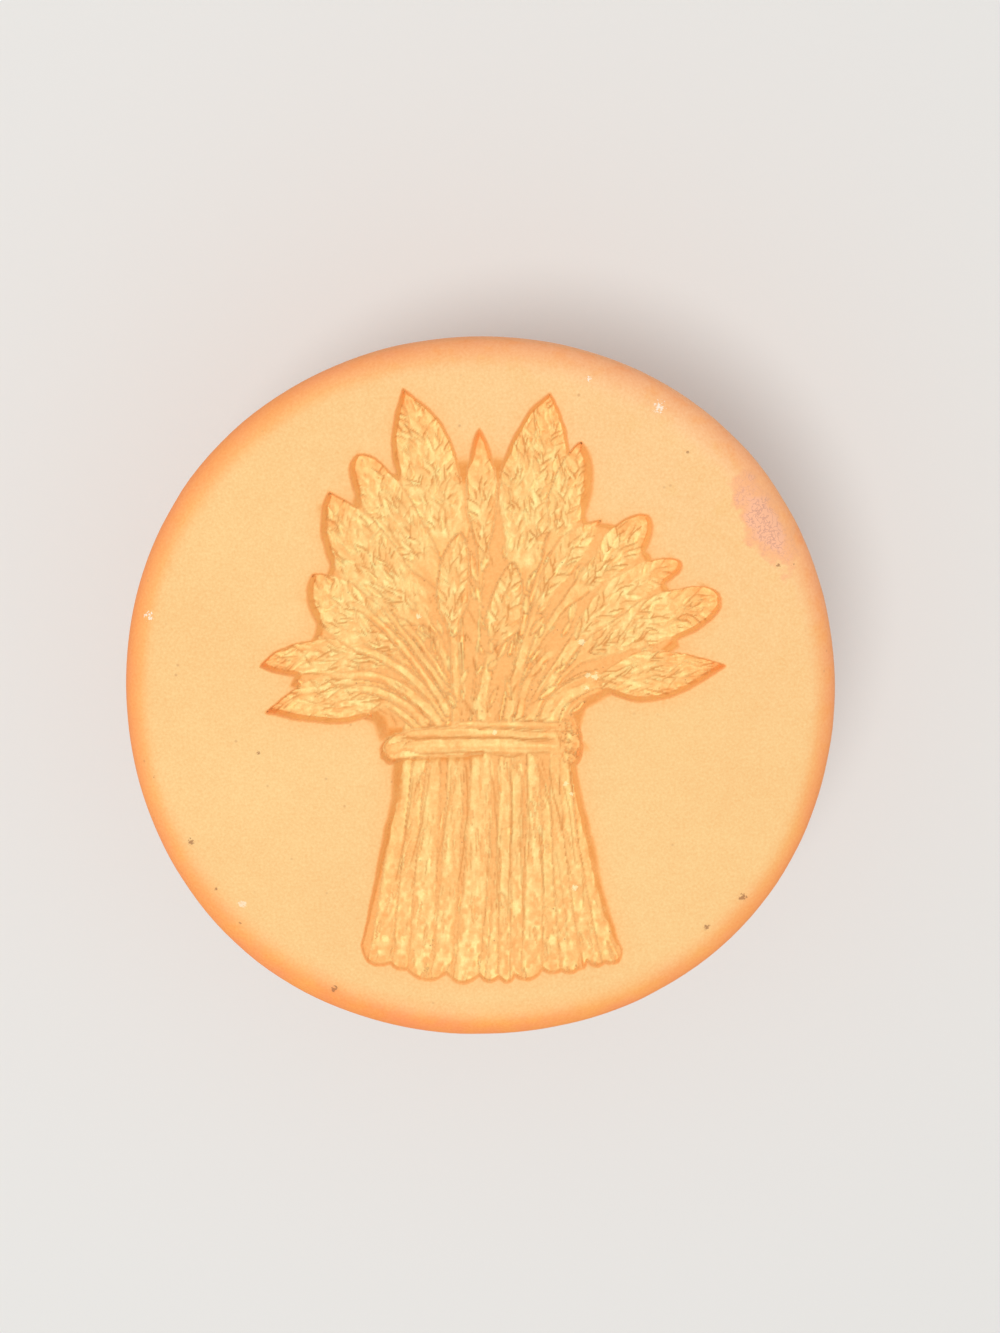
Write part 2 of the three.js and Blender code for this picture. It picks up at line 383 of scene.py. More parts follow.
# %% Say where each ear lies, from the back of the sheaf to the front
# name: tip, foot, width, bow, widest at, bluntness, foot's width
EARS = {
    "tall_left": ((-4.3, 22.0), (-1.7, 10.9), 4.3, 0.1, 0.55, 1.1, 0.8),
    "tall_right": ((5.7, 21.2), (3.7, 8.6), 4.9, -0.3, 0.5, 0.9, 0.6),
    "upper_left": ((-7.7, 17.5), (-3.2, 9.6), 3.2, -0.1, 0.55, 0.4, 0.75),
    "upper_right": ((7.8, 17.7), (5.5, 10.9), 2.9, 0.3, 0.4, 0.6, 0.4),
    "shoulder_left": ((-9.8, 15.1), (-4.1, 6.4), 4.4, -0.7, 0.5, 0.8, 0.8),
    "shoulder_right": ((12.1, 12.5), (7.1, 7.4), 2.9, 0.2, 0.62, 0.55, 0.45),
    "low_right": ((17.2, 1.7), (7.6, 0.8), 3.5, 0.0, 0.4, 1.1, 0.25),
    "low_left": ((-15.1, -0.1), (-5.9, 0.6), 3.5, 0.4, 0.4, 1.1, 0.5),
    "side_right": ((16.9, 6.5), (7.5, 3.0), 3.5, -0.2, 0.55, 0.4, 0.5),
    "side_left": ((-15.2, 3.3), (-5.4, 3.3), 2.6, 0.3, 0.6, 0.8, 0.7),
    "middle_left": ((-11.2, 9.5), (-4.8, 4.1), 3.8, -0.9, 0.6, 0.65, 0.85),
    "middle_right": ((14.3, 9.0), (6.8, 3.8), 2.6, -0.8, 0.4, 0.45, 0.4),
    "slim_right": ((8.9, 12.4), (4.2, 6.0), 2.2, -0.5, 0.55, 1.0, 0.45),
    "crown": ((0.8, 19.0), (0.5, 9.3), 2.2, 0.1, 0.5, 0.7, 0.3),
    "front_left": ((-0.8, 11.8), (-1.7, 4.6), 2.4, -0.3, 0.4, 0.6, 0.3),
    "front_right": ((2.6, 9.6), (1.1, 3.7), 2.6, 0.25, 0.3, 0.65, 0.3),
}
# name: how its grains lie, left wall, right wall, bare above, bare below, ridge
DRESS = {
    "tall_left": ("crumpled", 0.36, 0.2, 0.93, 0.12, 0.8),
    "tall_right": ("crumpled", 0.36, 0.2, 0.93, 0.15, 0.8),
    "upper_left": ("crumpled", 0.45, 0.16, 0.84, 0.05, 0.8),
    "upper_right": ("crumpled", 0.16, 0.8, 0.95, 0.05, 0.8),
    "shoulder_left": ("crumpled", 0.5, 0.18, 0.95, 0.05, 0.8),
    "shoulder_right": ("barbed", 0.25, 0.4, 0.85, 0.0, 0.8),
    "low_right": ("strands", 0.14, 0.2, 0.93, 0.0, 0.8),
    "low_left": ("strands", 0.24, 0.14, 0.95, 0.0, 0.8),
    "side_right": ("crumpled", 0.14, 0.18, 0.93, 0.05, 0.8),
    "side_left": ("strands", 0.2, 0.16, 0.97, 0.0, 0.8),
    "middle_left": ("crumpled", 0.5, 0.18, 0.92, 0.05, 0.8),
    "middle_right": ("barbed", 0.18, 0.22, 0.88, 0.0, 0.8),
    "slim_right": ("barbed", 0.2, 0.2, 0.98, 0.0, 0.8),
    "crown": ("barbed", 0.4, 0.34, 0.74, 0.05, 0.62),
    "front_left": ("barbed", 0.2, 0.2, 0.97, 0.0, 0.6),
    "front_right": ("barbed", 0.2, 0.2, 0.97, 0.0, 0.62),
}
print(len(EARS), "ears")

# %% Shape an ear: a spindle of overlapping grains
EAR_SWELL = 0.08
FOOT_MERGE = 1.3
GRAIN_DEPTH = 0.36
GRAIN_LIP = 0.11
GRAIN_LINE = 0.055
GRAIN_BOW = 0.06
EAR_MOTTLE = 0.45
DULL_GRAIN = 0.15
# pitch of rows, spacing across, length, width, splay in degrees, disorder, depth, ground's paleness
GRAIN_STYLES = {
    "barbed": (0.85, 0.8, 1.6, 0.62, 33, 0.45, 0.84, 0.3),
    "crumpled": (0.62, 0.64, 1.3, 0.54, 30, 1.0, 0.9, 0.5),
    "strands": (0.85, 0.48, 2.0, 0.46, 13, 0.8, 0.88, 0.5),
}
DISORDER_TURN = math.radians(38)


def spindle(width, widest, bluntness, foot):
    """Half the width along an ear: from its foot's share, through its widest, to a point."""

    def half(share):
        rise = foot + (1 - foot) * eased(share / widest)
        fall = (1 - np.clip((share - widest) / (1 - widest), 0, 1) ** 2) ** bluntness
        return width / 2 * np.where(share < widest, rise, fall)

    return half


def grains_of(half_width, length, style, top, bottom, random):
    """Place, turn, size, strength and paleness of each grain of an ear, from the tip down."""
    pitch, spacing, long, wide, splay, disorder = GRAIN_STYLES[style][:6]
    columns = max(2, round(2 * half_width(WIDTH_CHECKS).max() / spacing))
    rows = round(length / pitch)
    grains = []
    for row, column in reversed(list(np.ndindex(rows, columns))):
        side = (2 * column + 1 - columns) / (columns - 1)
        run = (row + 0.3 + 0.5 * (column % 2) + 0.4 * disorder * random.uniform(-1, 1)) * pitch
        room = float(half_width(np.array(run / length)))
        across = side * (room - wide / 2) * 0.9 + 0.16 * disorder * random.uniform(-1, 1)
        turn = side * math.radians(splay) + disorder * DISORDER_TURN * random.uniform(-1, 1)
        size = random.uniform(0.7, 1.25) * min(1, 0.55 + 0.5 * room)
        slim = random.uniform(0.6, 1.1)
        strength, paleness = random.uniform(0.2, 1), random.uniform(0.3, 1.4)
        if bottom < run / length < top:
            grains.append((run, across, turn, long * size, wide * size * slim, strength, paleness))
    return grains


def grained(grains, ear_depth, ground):
    """The relief of an ear: a gentle swelling with its grains laid on it like tiles."""

    def relief(run, across, half, length):
        base = ear_depth + EAR_SWELL * np.sqrt(1 - reach_of(across, half) ** 2)
        depth, line = base.copy(), np.zeros(run.shape)
        crest = np.maximum(ground + EAR_MOTTLE * lumps(run / 0.4, across / 0.25, 1.0, 15), 0)
        for place, aside, turn, long, wide, strength, paleness in grains:
            a = (run - place) * math.cos(turn) + (across - aside) * math.sin(turn)
            b = (across - aside) * math.cos(turn) - (run - place) * math.sin(turn)
            b = b + GRAIN_BOW * long * (2 * a / long) ** 2 * math.copysign(1, turn)
            a, b = 2 * a / long, 2 * b / wide
            room = np.where(np.abs(a) < 1, (1 - a * a) * (1 - 0.35 * a), 0)
            side = b / np.maximum(room, TINY)
            inset = np.clip(1 - np.abs(side), 0, 1) * room * wide / 2
            slant = 0.5 + 0.5 * np.clip(side, -1, 1) * math.copysign(1, turn)
            lip = eased(inset / GRAIN_LIP)
            level = base + GRAIN_DEPTH * strength * (slant - 0.3)
            depth += (level - depth) * lip
            # Paler on the grain's high side: partly paler clay, partly painted highlight
            crest += (paleness * (DULL_GRAIN + (1 - DULL_GRAIN) * slant) - crest) * lip
            # Painted crease shade along the grain's low side
            shade = (0.3 + strength) * eased(1.6 - np.abs(inset - GRAIN_LINE) / GRAIN_LINE)
            shade = shade * eased(1.3 - 1.9 * slant)
            line = np.maximum(line * (1 - lip), shade * (inset > 0))
        broken = eased(0.6 + 1.1 * lumps(run, across + 9, 0.7, 19))
        return depth, crest, line * broken

    return relief


print("a barb is %.2f mm long" % GRAIN_STYLES["barbed"][2])

# %% Press an ear along its middle line
def ear_path(tip, foot, bow):
    """The ear's middle line from foot to tip, bowed to its right."""
    tip, foot = np.array(tip), np.array(foot)
    way = (tip - foot) / np.hypot(*(tip - foot))
    return curve(foot, (tip + foot) / 2 + 2 * bow * np.array((way[1], -way[0])), tip)


def press_ear(face, name, random):
    """Presses one ear with all its grains."""
    tip, foot, width, bow, widest, bluntness, foot_width = EARS[name]
    style, left, right, top, bottom, ridge = DRESS[name]
    path = ear_path(tip, foot, bow)
    length = np.hypot(*np.diff(path, axis=0).T).sum()
    half_width = spindle(width, widest, bluntness, foot_width)
    grains = grains_of(half_width, length, style, top, bottom, random)
    relief = grained(grains, *GRAIN_STYLES[style][6:])
    face.stroke(path, half_width, relief, steady(ridge), (left, right), FOOT_MERGE)


print("the longest ear is %.1f mm long" % max(math.dist(ear[0], ear[1]) for ear in EARS.values()))

# %% [markdown]
# ## The stems and the ground between them
# Below the ears the face is sunk to a flat ground, and the stems run over it in smooth curves
# to the band. Small leaves stand off from the stems. The ground shows between them in a deeper
# orange.

# %% Say where the ground, the stems, the leaves and the bundles lie
# The ground's outline: the notches between the ears, clockwise from the band's left end
GROUND = (
    (-7.3, -2.6), (-7.6, -1.3), (-10.6, 0.7), (-13.3, 1.7), (-11.3, 5.4), (-10.2, 9.6),
    (-8.0, 15.1), (-5.3, 16.3), (-0.7, 17.3), (2.0, 17.3), (6.8, 16.8), (8.0, 12.3), (9.9, 12.0),
    (12.1, 9.8), (13.4, 7.3), (14.0, 3.2), (9.2, 0.0), (7.3, -0.9), (6.8, -2.6),
)
# name: where its stem is tied, half the stem's width
STEMS = {
    "tall_left": (-1.9, 0.22), "tall_right": (1.5, 0.26), "upper_left": (-2.3, 0.25),
    "upper_right": (1.9, 0.25), "shoulder_left": (-2.7, 0.36), "shoulder_right": (2.1, 0.3),
    "low_right": (4.9, 0.95), "low_left": (-5.1, 0.6), "side_right": (3.6, 0.5),
    "side_left": (-4.2, 0.52), "middle_left": (-3.3, 0.44), "middle_right": (2.7, 0.5),
    "slim_right": (1.6, 0.4), "crown": (-1.0, 0.13), "front_left": (-1.84, 0.34),
    "front_right": (-0.08, 0.42),
}
# Leaves that stand alone: foot, tip, half the width
LEAVES = (
    ((0.46, 3.0), (-0.2, 4.2), 0.22), ((0.85, 4.7), (0.2, 6.0), 0.24), ((-1.4, 5.0), (-2.2, 6.1), 0.18),
    ((-2.9, 3.2), (-3.3, 5.0), 0.22), ((-3.6, 3.9), (-4.9, 5.2), 0.22), ((5.3, 0.6), (6.4, 2.0), 0.24),
    ((3.0, 3.6), (3.2, 4.9), 0.2), ((-0.9, 9.4), (-1.3, 10.8), 0.2), ((2.1, 9.7), (2.2, 11.2), 0.2),
)
# Thick bundles of stems just above the band: start, halfway, tie, half the width
BUNDLES = (
    ((-6.9, 0.35), (-5.8, -0.6), (-4.4, -1.8), 0.34), ((-9.3, 1.3), (-6.4, 0.55), (-4.0, -1.5), 0.4),
    ((-9.4, 2.2), (-6.0, 1.4), (-3.0, -1.55), 0.45), ((-8.7, 4.2), (-5.35, 2.3), (-2.5, -1.1), 0.4),
    ((-5.0, 5.5), (-3.6, 3.6), (-2.35, 1.3), 0.28), ((-6.7, 7.3), (-4.8, 4.4), (-2.3, 0.75), 0.3),
    ((-8.2, 7.1), (-5.05, 3.65), (-2.35, -0.8), 0.35), ((8.5, 1.1), (5.7, -0.1), (4.6, -2.0), 0.75),
    ((5.5, 3.3), (3.4, 1.25), (2.6, -1.9), 0.36), ((4.7, 4.4), (2.55, 1.6), (1.45, -1.9), 0.42),
)
FIRST_IN_FRONT = "slim_right"
print(len(STEMS), "stems,", len(LEAVES), "leaves alone and", len(BUNDLES), "bundles")

# %% Sink the ground of the fan and strew it with husks
GROUND_DEPTH = 0.8
STEM_EDGE = 0.7
STEM_SWELL = 0.12
LEAF_DEPTH = 0.84
LEAF_CREST = 0.95
HUSKS = 110
FAN_SOURCE = np.array((0.0, -5.5))
FAN_SPREAD = 80
FAN_SCRATCHES = 260


def press_ground(face):
    """Sinks the ground. Its wall is broader low down and behind the crown and the upper left ear."""

    def run(x, y):
        by_crown = eased((y - 13.5) / 2) * eased((x + 3.5) / 1.5) * eased((4.5 - x) / 1.5)
        by_upper_left = eased((y - 12.5) / 2) * eased((-4 - x) / 1.5)
        return 0.5 + 0.35 * eased((1.6 - y) / 2.0) + 1.5 * by_crown + 0.5 * by_upper_left

    face.basin(GROUND, flat(GROUND_DEPTH), run)


def press_leaf(face, foot, tip, half, seed):
    """Presses a leaf, pointed at both ends."""
    middle = (np.array(foot) + np.array(tip)) / 2
    face.stroke(
        curve(foot, middle, tip, 2), pointed(half),
        rounded(LEAF_DEPTH, LEAF_DEPTH, STEM_SWELL, LEAF_CREST, seed), steady(STEM_EDGE),
    )


def fan_mark(random, reach, stray, long):
    """Foot and tip of a short mark that points away from where the stems are tied.

    reach is the least and the most that it is away, long its least and its greatest length,
    and stray the most that it turns.
    """
    way = math.radians(FAN_SPREAD * random.uniform(-1, 1))
    foot = FAN_SOURCE + random.uniform(*reach) * np.array((math.sin(way), math.cos(way)))
    way += random.uniform(-stray, stray)
    return foot, foot + random.uniform(*long) * np.array((math.sin(way), math.cos(way)))


def press_husks(face, random):
    """Fills the ground with loose husks."""
    for _ in range(HUSKS):
        foot, tip = fan_mark(random, (4, 17), 0.35, (1.2, 2.6))
        half, seed = random.uniform(0.16, 0.34), random.uniform(0, 40)
        if inside_outline(GROUND, np.array((foot[0], tip[0])), np.array((foot[1], tip[1]))).all():
            press_leaf(face, foot, tip, half, seed)


def scratch_fan(face, random):
    """Short lines of painted crease shade along the ears and stems, where husks part."""
    for _ in range(FAN_SCRATCHES):
        foot, tip = fan_mark(random, (3, 26), 0.6, (0.5, 1.5))
        bend = (foot + tip) / 2 + random.uniform(-0.2, 0.2, 2)
        face.scratch(curve(foot, bend, tip, 4), random.uniform(0.08, 0.12), random.uniform(0.4, 1))


print(HUSKS, "husks to strew")

# %% Press the stems
TIE_HEIGHT = -2.4
STEM_DEPTH = 0.86
STEM_CREST = 0.62
STEM_PALES_OVER = 3.5
STEM_FUNNEL = 0.22
LEAVES_PER_STEM = 3
BUNDLE_CREST = 0.58
BUNDLE_EDGED = 0.45


def direction(start, end):
    """The way from start to end, one millimetre long."""
    return (end - start) / np.hypot(*(end - start))


def swung(way, turn):
    """A way turned to its left by an angle."""
    return np.array((way[0] * math.cos(turn) - way[1] * math.sin(turn),
                     way[0] * math.sin(turn) + way[1] * math.cos(turn)))


def leaf_on(stem, seed, random):
    """Foot, tip, half width and seed of a leaf that stands off from a stem."""
    at = random.integers(1, 10)
    turn = random.choice((-1, 1)) * random.uniform(0.25, 0.5)
    way = swung(direction(stem[at], stem[at - 1]), turn)
    return stem[at], stem[at] + way * random.uniform(1.2, 2.2), random.uniform(0.2, 0.32), seed


def press_stem(face, name, random):
    """Presses the stem of one ear down to the band, then its leaves."""
    tip, foot, width, bow, _, _, foot_width = EARS[name]
    tie, slim = STEMS[name]
    path = ear_path(tip, foot, bow)
    end = np.array((tie, TIE_HEIGHT))
    middle = path[0] + direction(path[1], path[0]) * 0.5 * np.hypot(*(path[0] - end))
    funnel = max(width / 2 * foot_width - slim, 0)

    def half_width(share):
        return slim + funnel * (1 - eased(share / STEM_FUNNEL))

    stem = curve(path[1], middle, end)
    seed = random.uniform(0, 40)
    leaves = [leaf_on(stem, seed, random) for _ in range(LEAVES_PER_STEM)]
    plain = rounded(STEM_DEPTH, STEM_DEPTH - 0.04, STEM_SWELL, STEM_CREST, seed)

    def relief(run, across, half, length):
        depth, crest, line = plain(run, across, half, length)
        return depth, crest * (0.5 + 0.5 * eased(run / STEM_PALES_OVER)), line

    face.stroke(stem, half_width, relief, steady(STEM_EDGE))
    for leaf in leaves:
        press_leaf(face, *leaf)


def press_bundles(face, random):
    """Lays the thick bundles of stems, softly edged."""
    for start, halfway, tie, half in BUNDLES:
        seed = random.uniform(0, 40)
        relief = rounded(STEM_DEPTH, STEM_DEPTH, STEM_SWELL, BUNDLE_CREST, seed, BUNDLE_EDGED)
        path, widths = through(start, halfway, tie), fading(half * 0.8, half)
        face.stroke(path, widths, relief, steady(STEM_EDGE), merge=FOOT_MERGE)


print("stems are tied at a height of %.1f mm" % TIE_HEIGHT)

# %% [markdown]
# ## The straws below the band
# Below the band the straws spread out to their cut ends. Each is one stroke that widens
# downwards, and the floor shows between them as narrow gaps. The clumps of cut ends make a
# scalloped hem. It could be left to the strokes' own ends, but then a change of one straw
# would change the hem, so the hem is an outline of arcs and all beyond it is filled in again.
# The skirt's side walls slope gently and grow steeper towards the hem.

# %% Say where the straws and the hem lie
# across at the top, its height, across in the middle, across at the hem, half widths
STRAWS = (
    (-5.3, -3.6, -6.85, -8.45, 0.3, 0.87), (-4.4, -3.6, -5.75, -6.95, 0.4, 0.5),
    (-3.4, -3.6, -4.5, -5.3, 0.33, 0.87), (-1.9, -3.6, -2.8, -3.9, 0.5, 0.6),
    (-0.05, -8.3, -0.5, -0.8, 0.3, 0.44), (-0.2, -3.6, -0.95, -2.15, 0.62, 0.83),
    (1.45, -3.9, 0.85, -0.2, 0.36, 0.4), (1.3, -9.3, 1.0, 0.8, 0.3, 0.44),
    (2.25, -3.9, 1.95, 1.55, 0.27, 0.4), (4.1, -6.6, 4.15, 4.05, 0.35, 0.64),
    (3.4, -3.8, 3.15, 2.55, 0.32, 0.68), (5.05, -3.8, 5.15, 5.45, 0.34, 0.64),
    (6.0, -4.4, 6.9, 8.5, 0.2, 0.64), (5.6, -4.0, 6.05, 7.2, 0.24, 0.6),
)
# The skirt's left edge downwards, and its right edge upwards
SKIRT_LEFT = ((-6.5, -3.3), (-6.75, -6.6), (-7.72, -10.25), (-8.9, -15.4))
SKIRT_RIGHT = ((8.1, -14.1), (7.7, -11.0), (7.0, -7.8), (6.55, -5.2), (6.4, -3.3))
# The notches of the hem from left to right, and how far the scallop after each hangs out
HEM = (
    (-9.45, -17.3, 0.75), (-7.38, -18.78, 0.18), (-6.25, -19.25, 0.65), (-3.4, -19.72, 0.65),
    (-1.05, -19.98, 0.4), (0.28, -20.2, 0.45), (1.45, -20.1, 0.52), (3.45, -19.75, 0.22),
    (4.8, -19.9, 0.22), (6.05, -19.85, 0.22), (6.66, -19.35, 0.33), (7.9, -19.5, 0.5), (9.2, -18.5, 0.0),
)
# Lines of painted crease shade between straws: top, middle, bottom
STRAW_LINES = (
    ((-5.0, -5.2), (-5.65, -8.6), (-6.75, -13.0)), ((-3.85, -4.8), (-4.45, -8.0), (-5.7, -12.0)),
    ((-2.3, -4.3), (-2.75, -7.8), (-3.84, -12.0)), ((-1.3, -4.3), (-1.4, -8.2), (-2.3, -13.2)),
    ((0.45, -5.4), (0.65, -9.6), (0.3, -15.4)), ((1.87, -6.0), (1.65, -9.6), (1.1, -15.9)),
    ((2.43, -7.0), (2.25, -12.0), (2.33, -16.3)), ((2.86, -4.9), (3.0, -8.2), (2.75, -12.2)),
    ((3.7, -4.6), (4.4, -7.2), (4.65, -9.6)), ((3.57, -9.0), (3.7, -11.4), (3.75, -14.5)),
    ((4.57, -4.9), (4.85, -7.4), (5.35, -10.0)), ((4.68, -10.9), (5.1, -14.0), (5.35, -18.3)),
    ((5.44, -6.1), (5.85, -8.6), (6.1, -12.5)), ((6.51, -12.6), (6.6, -14.0), (6.55, -15.6)),
)
print(len(STRAWS), "straws and", len(HEM) - 1, "scallops")

# %% Draw the skirt's outline with its scalloped hem
SCALLOP_STEPS = 6


def skirt_outline():
    """The skirt's two edges with the hem between them, one arc for each scallop."""
    hem = []
    for (ax, ay, hang), (bx, by, _) in zip(HEM, HEM[1:]):
        out = np.array((by - ay, ax - bx)) / math.hypot(bx - ax, by - ay)
        for share in np.arange(SCALLOP_STEPS) / SCALLOP_STEPS:
            chord = np.array((ax, ay)) * (1 - share) + np.array((bx, by)) * share
            hem.append(chord + out * hang * math.sin(math.pi * share) ** 0.8)
    return np.vstack([SKIRT_LEFT, hem, [HEM[-1][:2]], SKIRT_RIGHT])


print("an outline of %d points" % len(skirt_outline()))

# %% Press the straws
STRAW_END = -20.6
STRAW_CREST = 0.43
STRAW_TOP_DEPTH = 0.86
STRAW_END_DEPTH = 0.24
HEM_TOP = -18.2
HEM_WALL = 0.13
FLECKS = 160
SKIRT_SCRATCHES = 110
SKIRT_SOURCE = np.array((0.0, 9.5))
SKIRT_SPREAD = 0.31


def widening(first, last):
    """Half the width of a straw, which spreads soon and then stays nearly even."""
    return lambda share: first + (last - first) * share ** 0.7


def strawed(first, last, seed):
    """The relief of a straw: striped along its upper part and mottled towards its cut end."""

    def relief(run, across, half, length):
        reach = reach_of(across, half)
        low = eased((run / length - 0.3) / 0.5)
        stripes = lumps(across / 0.28 + seed, run / 4, 1.0, 17)
        mottle = lumps(across / 0.5 + seed, run / 0.8, 1.0, 18)
        crumbs = lumps(across / 0.22, run / 0.35 + seed, 1.0, 20)
        depth = first + (last - first) * run / length + 0.06 * np.sqrt(1 - reach ** 3)
        depth = depth + 0.06 * stripes * (1 - low) + 0.07 * mottle * low + 0.05 * crumbs * (0.4 + low)
        crest = STRAW_CREST + 0.3 * stripes * (1 - 0.6 * low)
        crest = crest + 0.2 * mottle * (0.4 + low) + 0.35 * crumbs * (0.6 + low)
        broken = (0.4 + 0.7 * lumps(run, seed, 1.3, 16)) * (1 - 0.6 * low)
        line = edge_shade_line(reach, half) * broken
        return depth, np.clip(crest, 0, 1) * (1 - reach ** 6), np.clip(line, 0, 1)

    return relief


def skirt_mark(random, reach, long):
    """Foot and tip of a short mark along the straws. reach and long are each a least and a most."""
    way, away = random.uniform(-SKIRT_SPREAD, SKIRT_SPREAD), random.uniform(*reach)
    down = np.array((math.sin(way), -math.cos(way)))
    foot = SKIRT_SOURCE + away * down
    return foot, foot + random.uniform(*long) * down


def press_straws(face, random):
    """Presses the skirt's floor, its straws and their flecks and scratches, and cuts its outline."""

    def floor(x, y):
        return np.interp(y, (-19.5, -16, -5), (0.17, 0.4, 0.78))

    def run(x, y):
        left = np.interp(y, (-17, -12, -8, -5), (0.16, 0.42, 0.66, 0.98))
        right = np.interp(y, (-19, -15, -12.5, -5), (0.26, 0.55, 0.72, 0.62))
        return np.where(y < HEM_TOP, HEM_WALL, np.where(x < 0, left, right))

    outline = skirt_outline()
    face.basin(outline, floor, flat(RIDGE_RUN))
    for across, height, halfway, foot, half_top, half_hem in STRAWS:
        path = through((across, height), (halfway, (height + STRAW_END) / 2), (foot, STRAW_END))
        first = STRAW_TOP_DEPTH - 0.35 * max(0.0, (height + 4.3) / -15)
        relief = strawed(first, STRAW_END_DEPTH, random.uniform(0, 40))
        face.stroke(path, widening(half_top + 0.1, half_hem + 0.13), relief, fading(first - 0.14, 0.19))
    for _ in range(FLECKS):
        foot, tip = skirt_mark(random, (8, 31), (1.0, 2.6))
        level = float(floor(0, foot[1])) + 0.03
        width = pointed(random.uniform(0.08, 0.18))
        relief = rounded(level, level, 0.06, random.uniform(0.2, 1), random.uniform(0, 40), 0.2)
        face.stroke(curve(foot, (foot + tip) / 2, tip, 2), width, relief, steady(level - 0.04))
    for _ in range(SKIRT_SCRATCHES):
        foot, tip = skirt_mark(random, (12, 30), (0.6, 1.8))
        bend = (foot + tip) / 2 + random.uniform(-0.1, 0.1, 2)
        face.scratch(curve(foot, bend, tip, 3), 0.07, random.uniform(0.3, 0.8))
    for top, middle, bottom in STRAW_LINES:
        face.scratch(through(top, middle, bottom), 0.09, random.uniform(0.45, 0.9))
    face.trim(outline, run)


print(FLECKS, "flecks to strew")

# %% [markdown]
# ## The band
# The sheaf is tied with a twist of straw: two thin strands lie over a broad one, with a loop at
# the left and a knot at the right, where the ends are tucked in. It lies over stems and straws,
# so it is pressed after them.

# %% Press the band, its loop and its knot
BAND_LEVEL = 0.78
# The band's outline, clockwise from its left end
BAND_FLOOR = (
    (-6.2, -2.05), (-4.5, -1.76), (-2.2, -1.8), (-2.0, -1.47), (1.1, -1.58), (5.6, -1.85),
    (6.2, -1.6), (6.9, -2.9), (7.05, -3.5), (6.9, -4.1), (6.2, -5.1), (5.7, -4.6), (4.75, -4.15),
    (2.9, -4.05), (2.0, -4.2), (0.8, -4.05), (0.2, -3.85), (-4.3, -3.78), (-4.5, -4.0),
    (-6.7, -4.15), (-7.2, -3.7), (-7.25, -3.2), (-6.9, -2.55),
)
BAND_CREST = 0.2
BAND_SWELL = 0.05
# Strands of the twist: path, half width, depth, crest, wall
STRANDS = (
    (((-7.2, -3.2), (-6.3, -3.05), (-1.5, -3.1)), 0.92, 0.8, 0.9, 0.16),
    (((-6.8, -3.5), (-6.3, -3.0), (-4.3, -2.9)), 0.4, 0.86, 0.6, 0.16),
    (((5.9, -1.5), (6.6, -3.0), (6.1, -4.3)), 0.62, 0.82, 0.5, 0.18),
    (((-5.7, -3.15), (0.0, -3.2), (5.2, -3.65)), 0.58, 0.86, 0.5, 0.14),
    (((-5.6, -2.2), (0.0, -2.32), (5.2, -2.8)), 0.38, 0.86, 0.45, 0.14),
    (((-1.9, -1.7), (1.5, -1.78), (5.2, -2.1)), 0.25, 0.86, 0.5, 0.14),
    (((-0.4, -2.06), (2.0, -2.2), (4.4, -2.45)), 0.09, 0.84, 0.8, 0.1),
)
# Lines of painted crease shade on the band: path, half width, strength
BAND_LINES = (
    (((-5.95, -2.49), (-1.5, -2.6), (4.9, -3.11)), 0.12, 1.0),
    (((-0.3, -1.97), (2.0, -2.14), (4.6, -2.37)), 0.09, 0.75),
    (((0.9, -2.15), (2.5, -2.31), (4.3, -2.54)), 0.08, 0.6),
    (((2.1, -3.05), (3.5, -3.17), (4.95, -3.28)), 0.08, 0.7),
    (((-4.5, -3.74), (-1.9, -3.62), (0.4, -3.8)), 0.14, 0.6),
    (((0.2, -3.78), (1.4, -4.35), (3.0, -3.97)), 0.16, 0.65),
    (((2.8, -3.97), (4.0, -3.98), (4.9, -4.12)), 0.13, 0.6),
    (((-6.9, -3.84), (-5.8, -4.1), (-4.3, -3.9)), 0.1, 0.7),
    (((-4.6, -1.8), (-3.4, -1.7), (-2.1, -1.85)), 0.08, 0.6),
    (((-6.0, -2.1), (-7.7, -3.1), (-6.4, -4.1)), 0.1, 0.8),
    (((6.3, -2.0), (7.2, -3.2), (6.5, -4.5)), 0.08, 0.7),
    (((5.0, -2.2), (5.6, -3.0), (5.3, -4.1)), 0.09, 0.7),
    (((5.5, -2.4), (6.2, -2.7), (6.7, -2.6)), 0.08, 0.8),
    (((5.5, -3.4), (6.1, -3.2), (6.6, -3.6)), 0.08, 0.8),
    (((5.6, -4.3), (6.0, -3.9), (6.5, -4.2)), 0.08, 0.8),
)
# Ends of straw tucked into the knot: foot, tip
TUCKS = (
    ((5.7, -1.7), (6.3, -2.2)), ((6.6, -2.4), (6.85, -3.3)), ((6.2, -3.6), (6.5, -4.5)),
    ((6.8, -3.6), (6.5, -4.7)), ((5.8, -2.1), (6.4, -2.9)), ((5.4, -3.1), (6.2, -3.3)),
    ((5.5, -2.5), (6.1, -2.7)), ((5.6, -3.6), (6.2, -4.2)), ((6.0, -4.3), (6.1, -5.0)),
)
TUCK_HALF_WIDTH = 0.17


def press_band(face):
    """Levels the band's floor over stems and straws, then lays its strands, tucked ends and lines."""
    face.basin(BAND_FLOOR, flat(BAND_LEVEL), flat(RIDGE_RUN), crest=BAND_CREST, level=True)
    for seed, ((start, middle, end), half, depth, crest, wall) in enumerate(STRANDS):
        relief = rounded(depth, depth, BAND_SWELL, crest, seed * 3)
        face.stroke(curve(start, middle, end), nosed(half), relief, steady(BAND_LEVEL), (wall, wall))
    for foot, tip in TUCKS:
        press_leaf(face, foot, tip, TUCK_HALF_WIDTH, 0)
    for (start, middle, end), half, strength in BAND_LINES:
        face.scratch(curve(start, middle, end), half, strength)


print(len(STRANDS), "strands in the band")

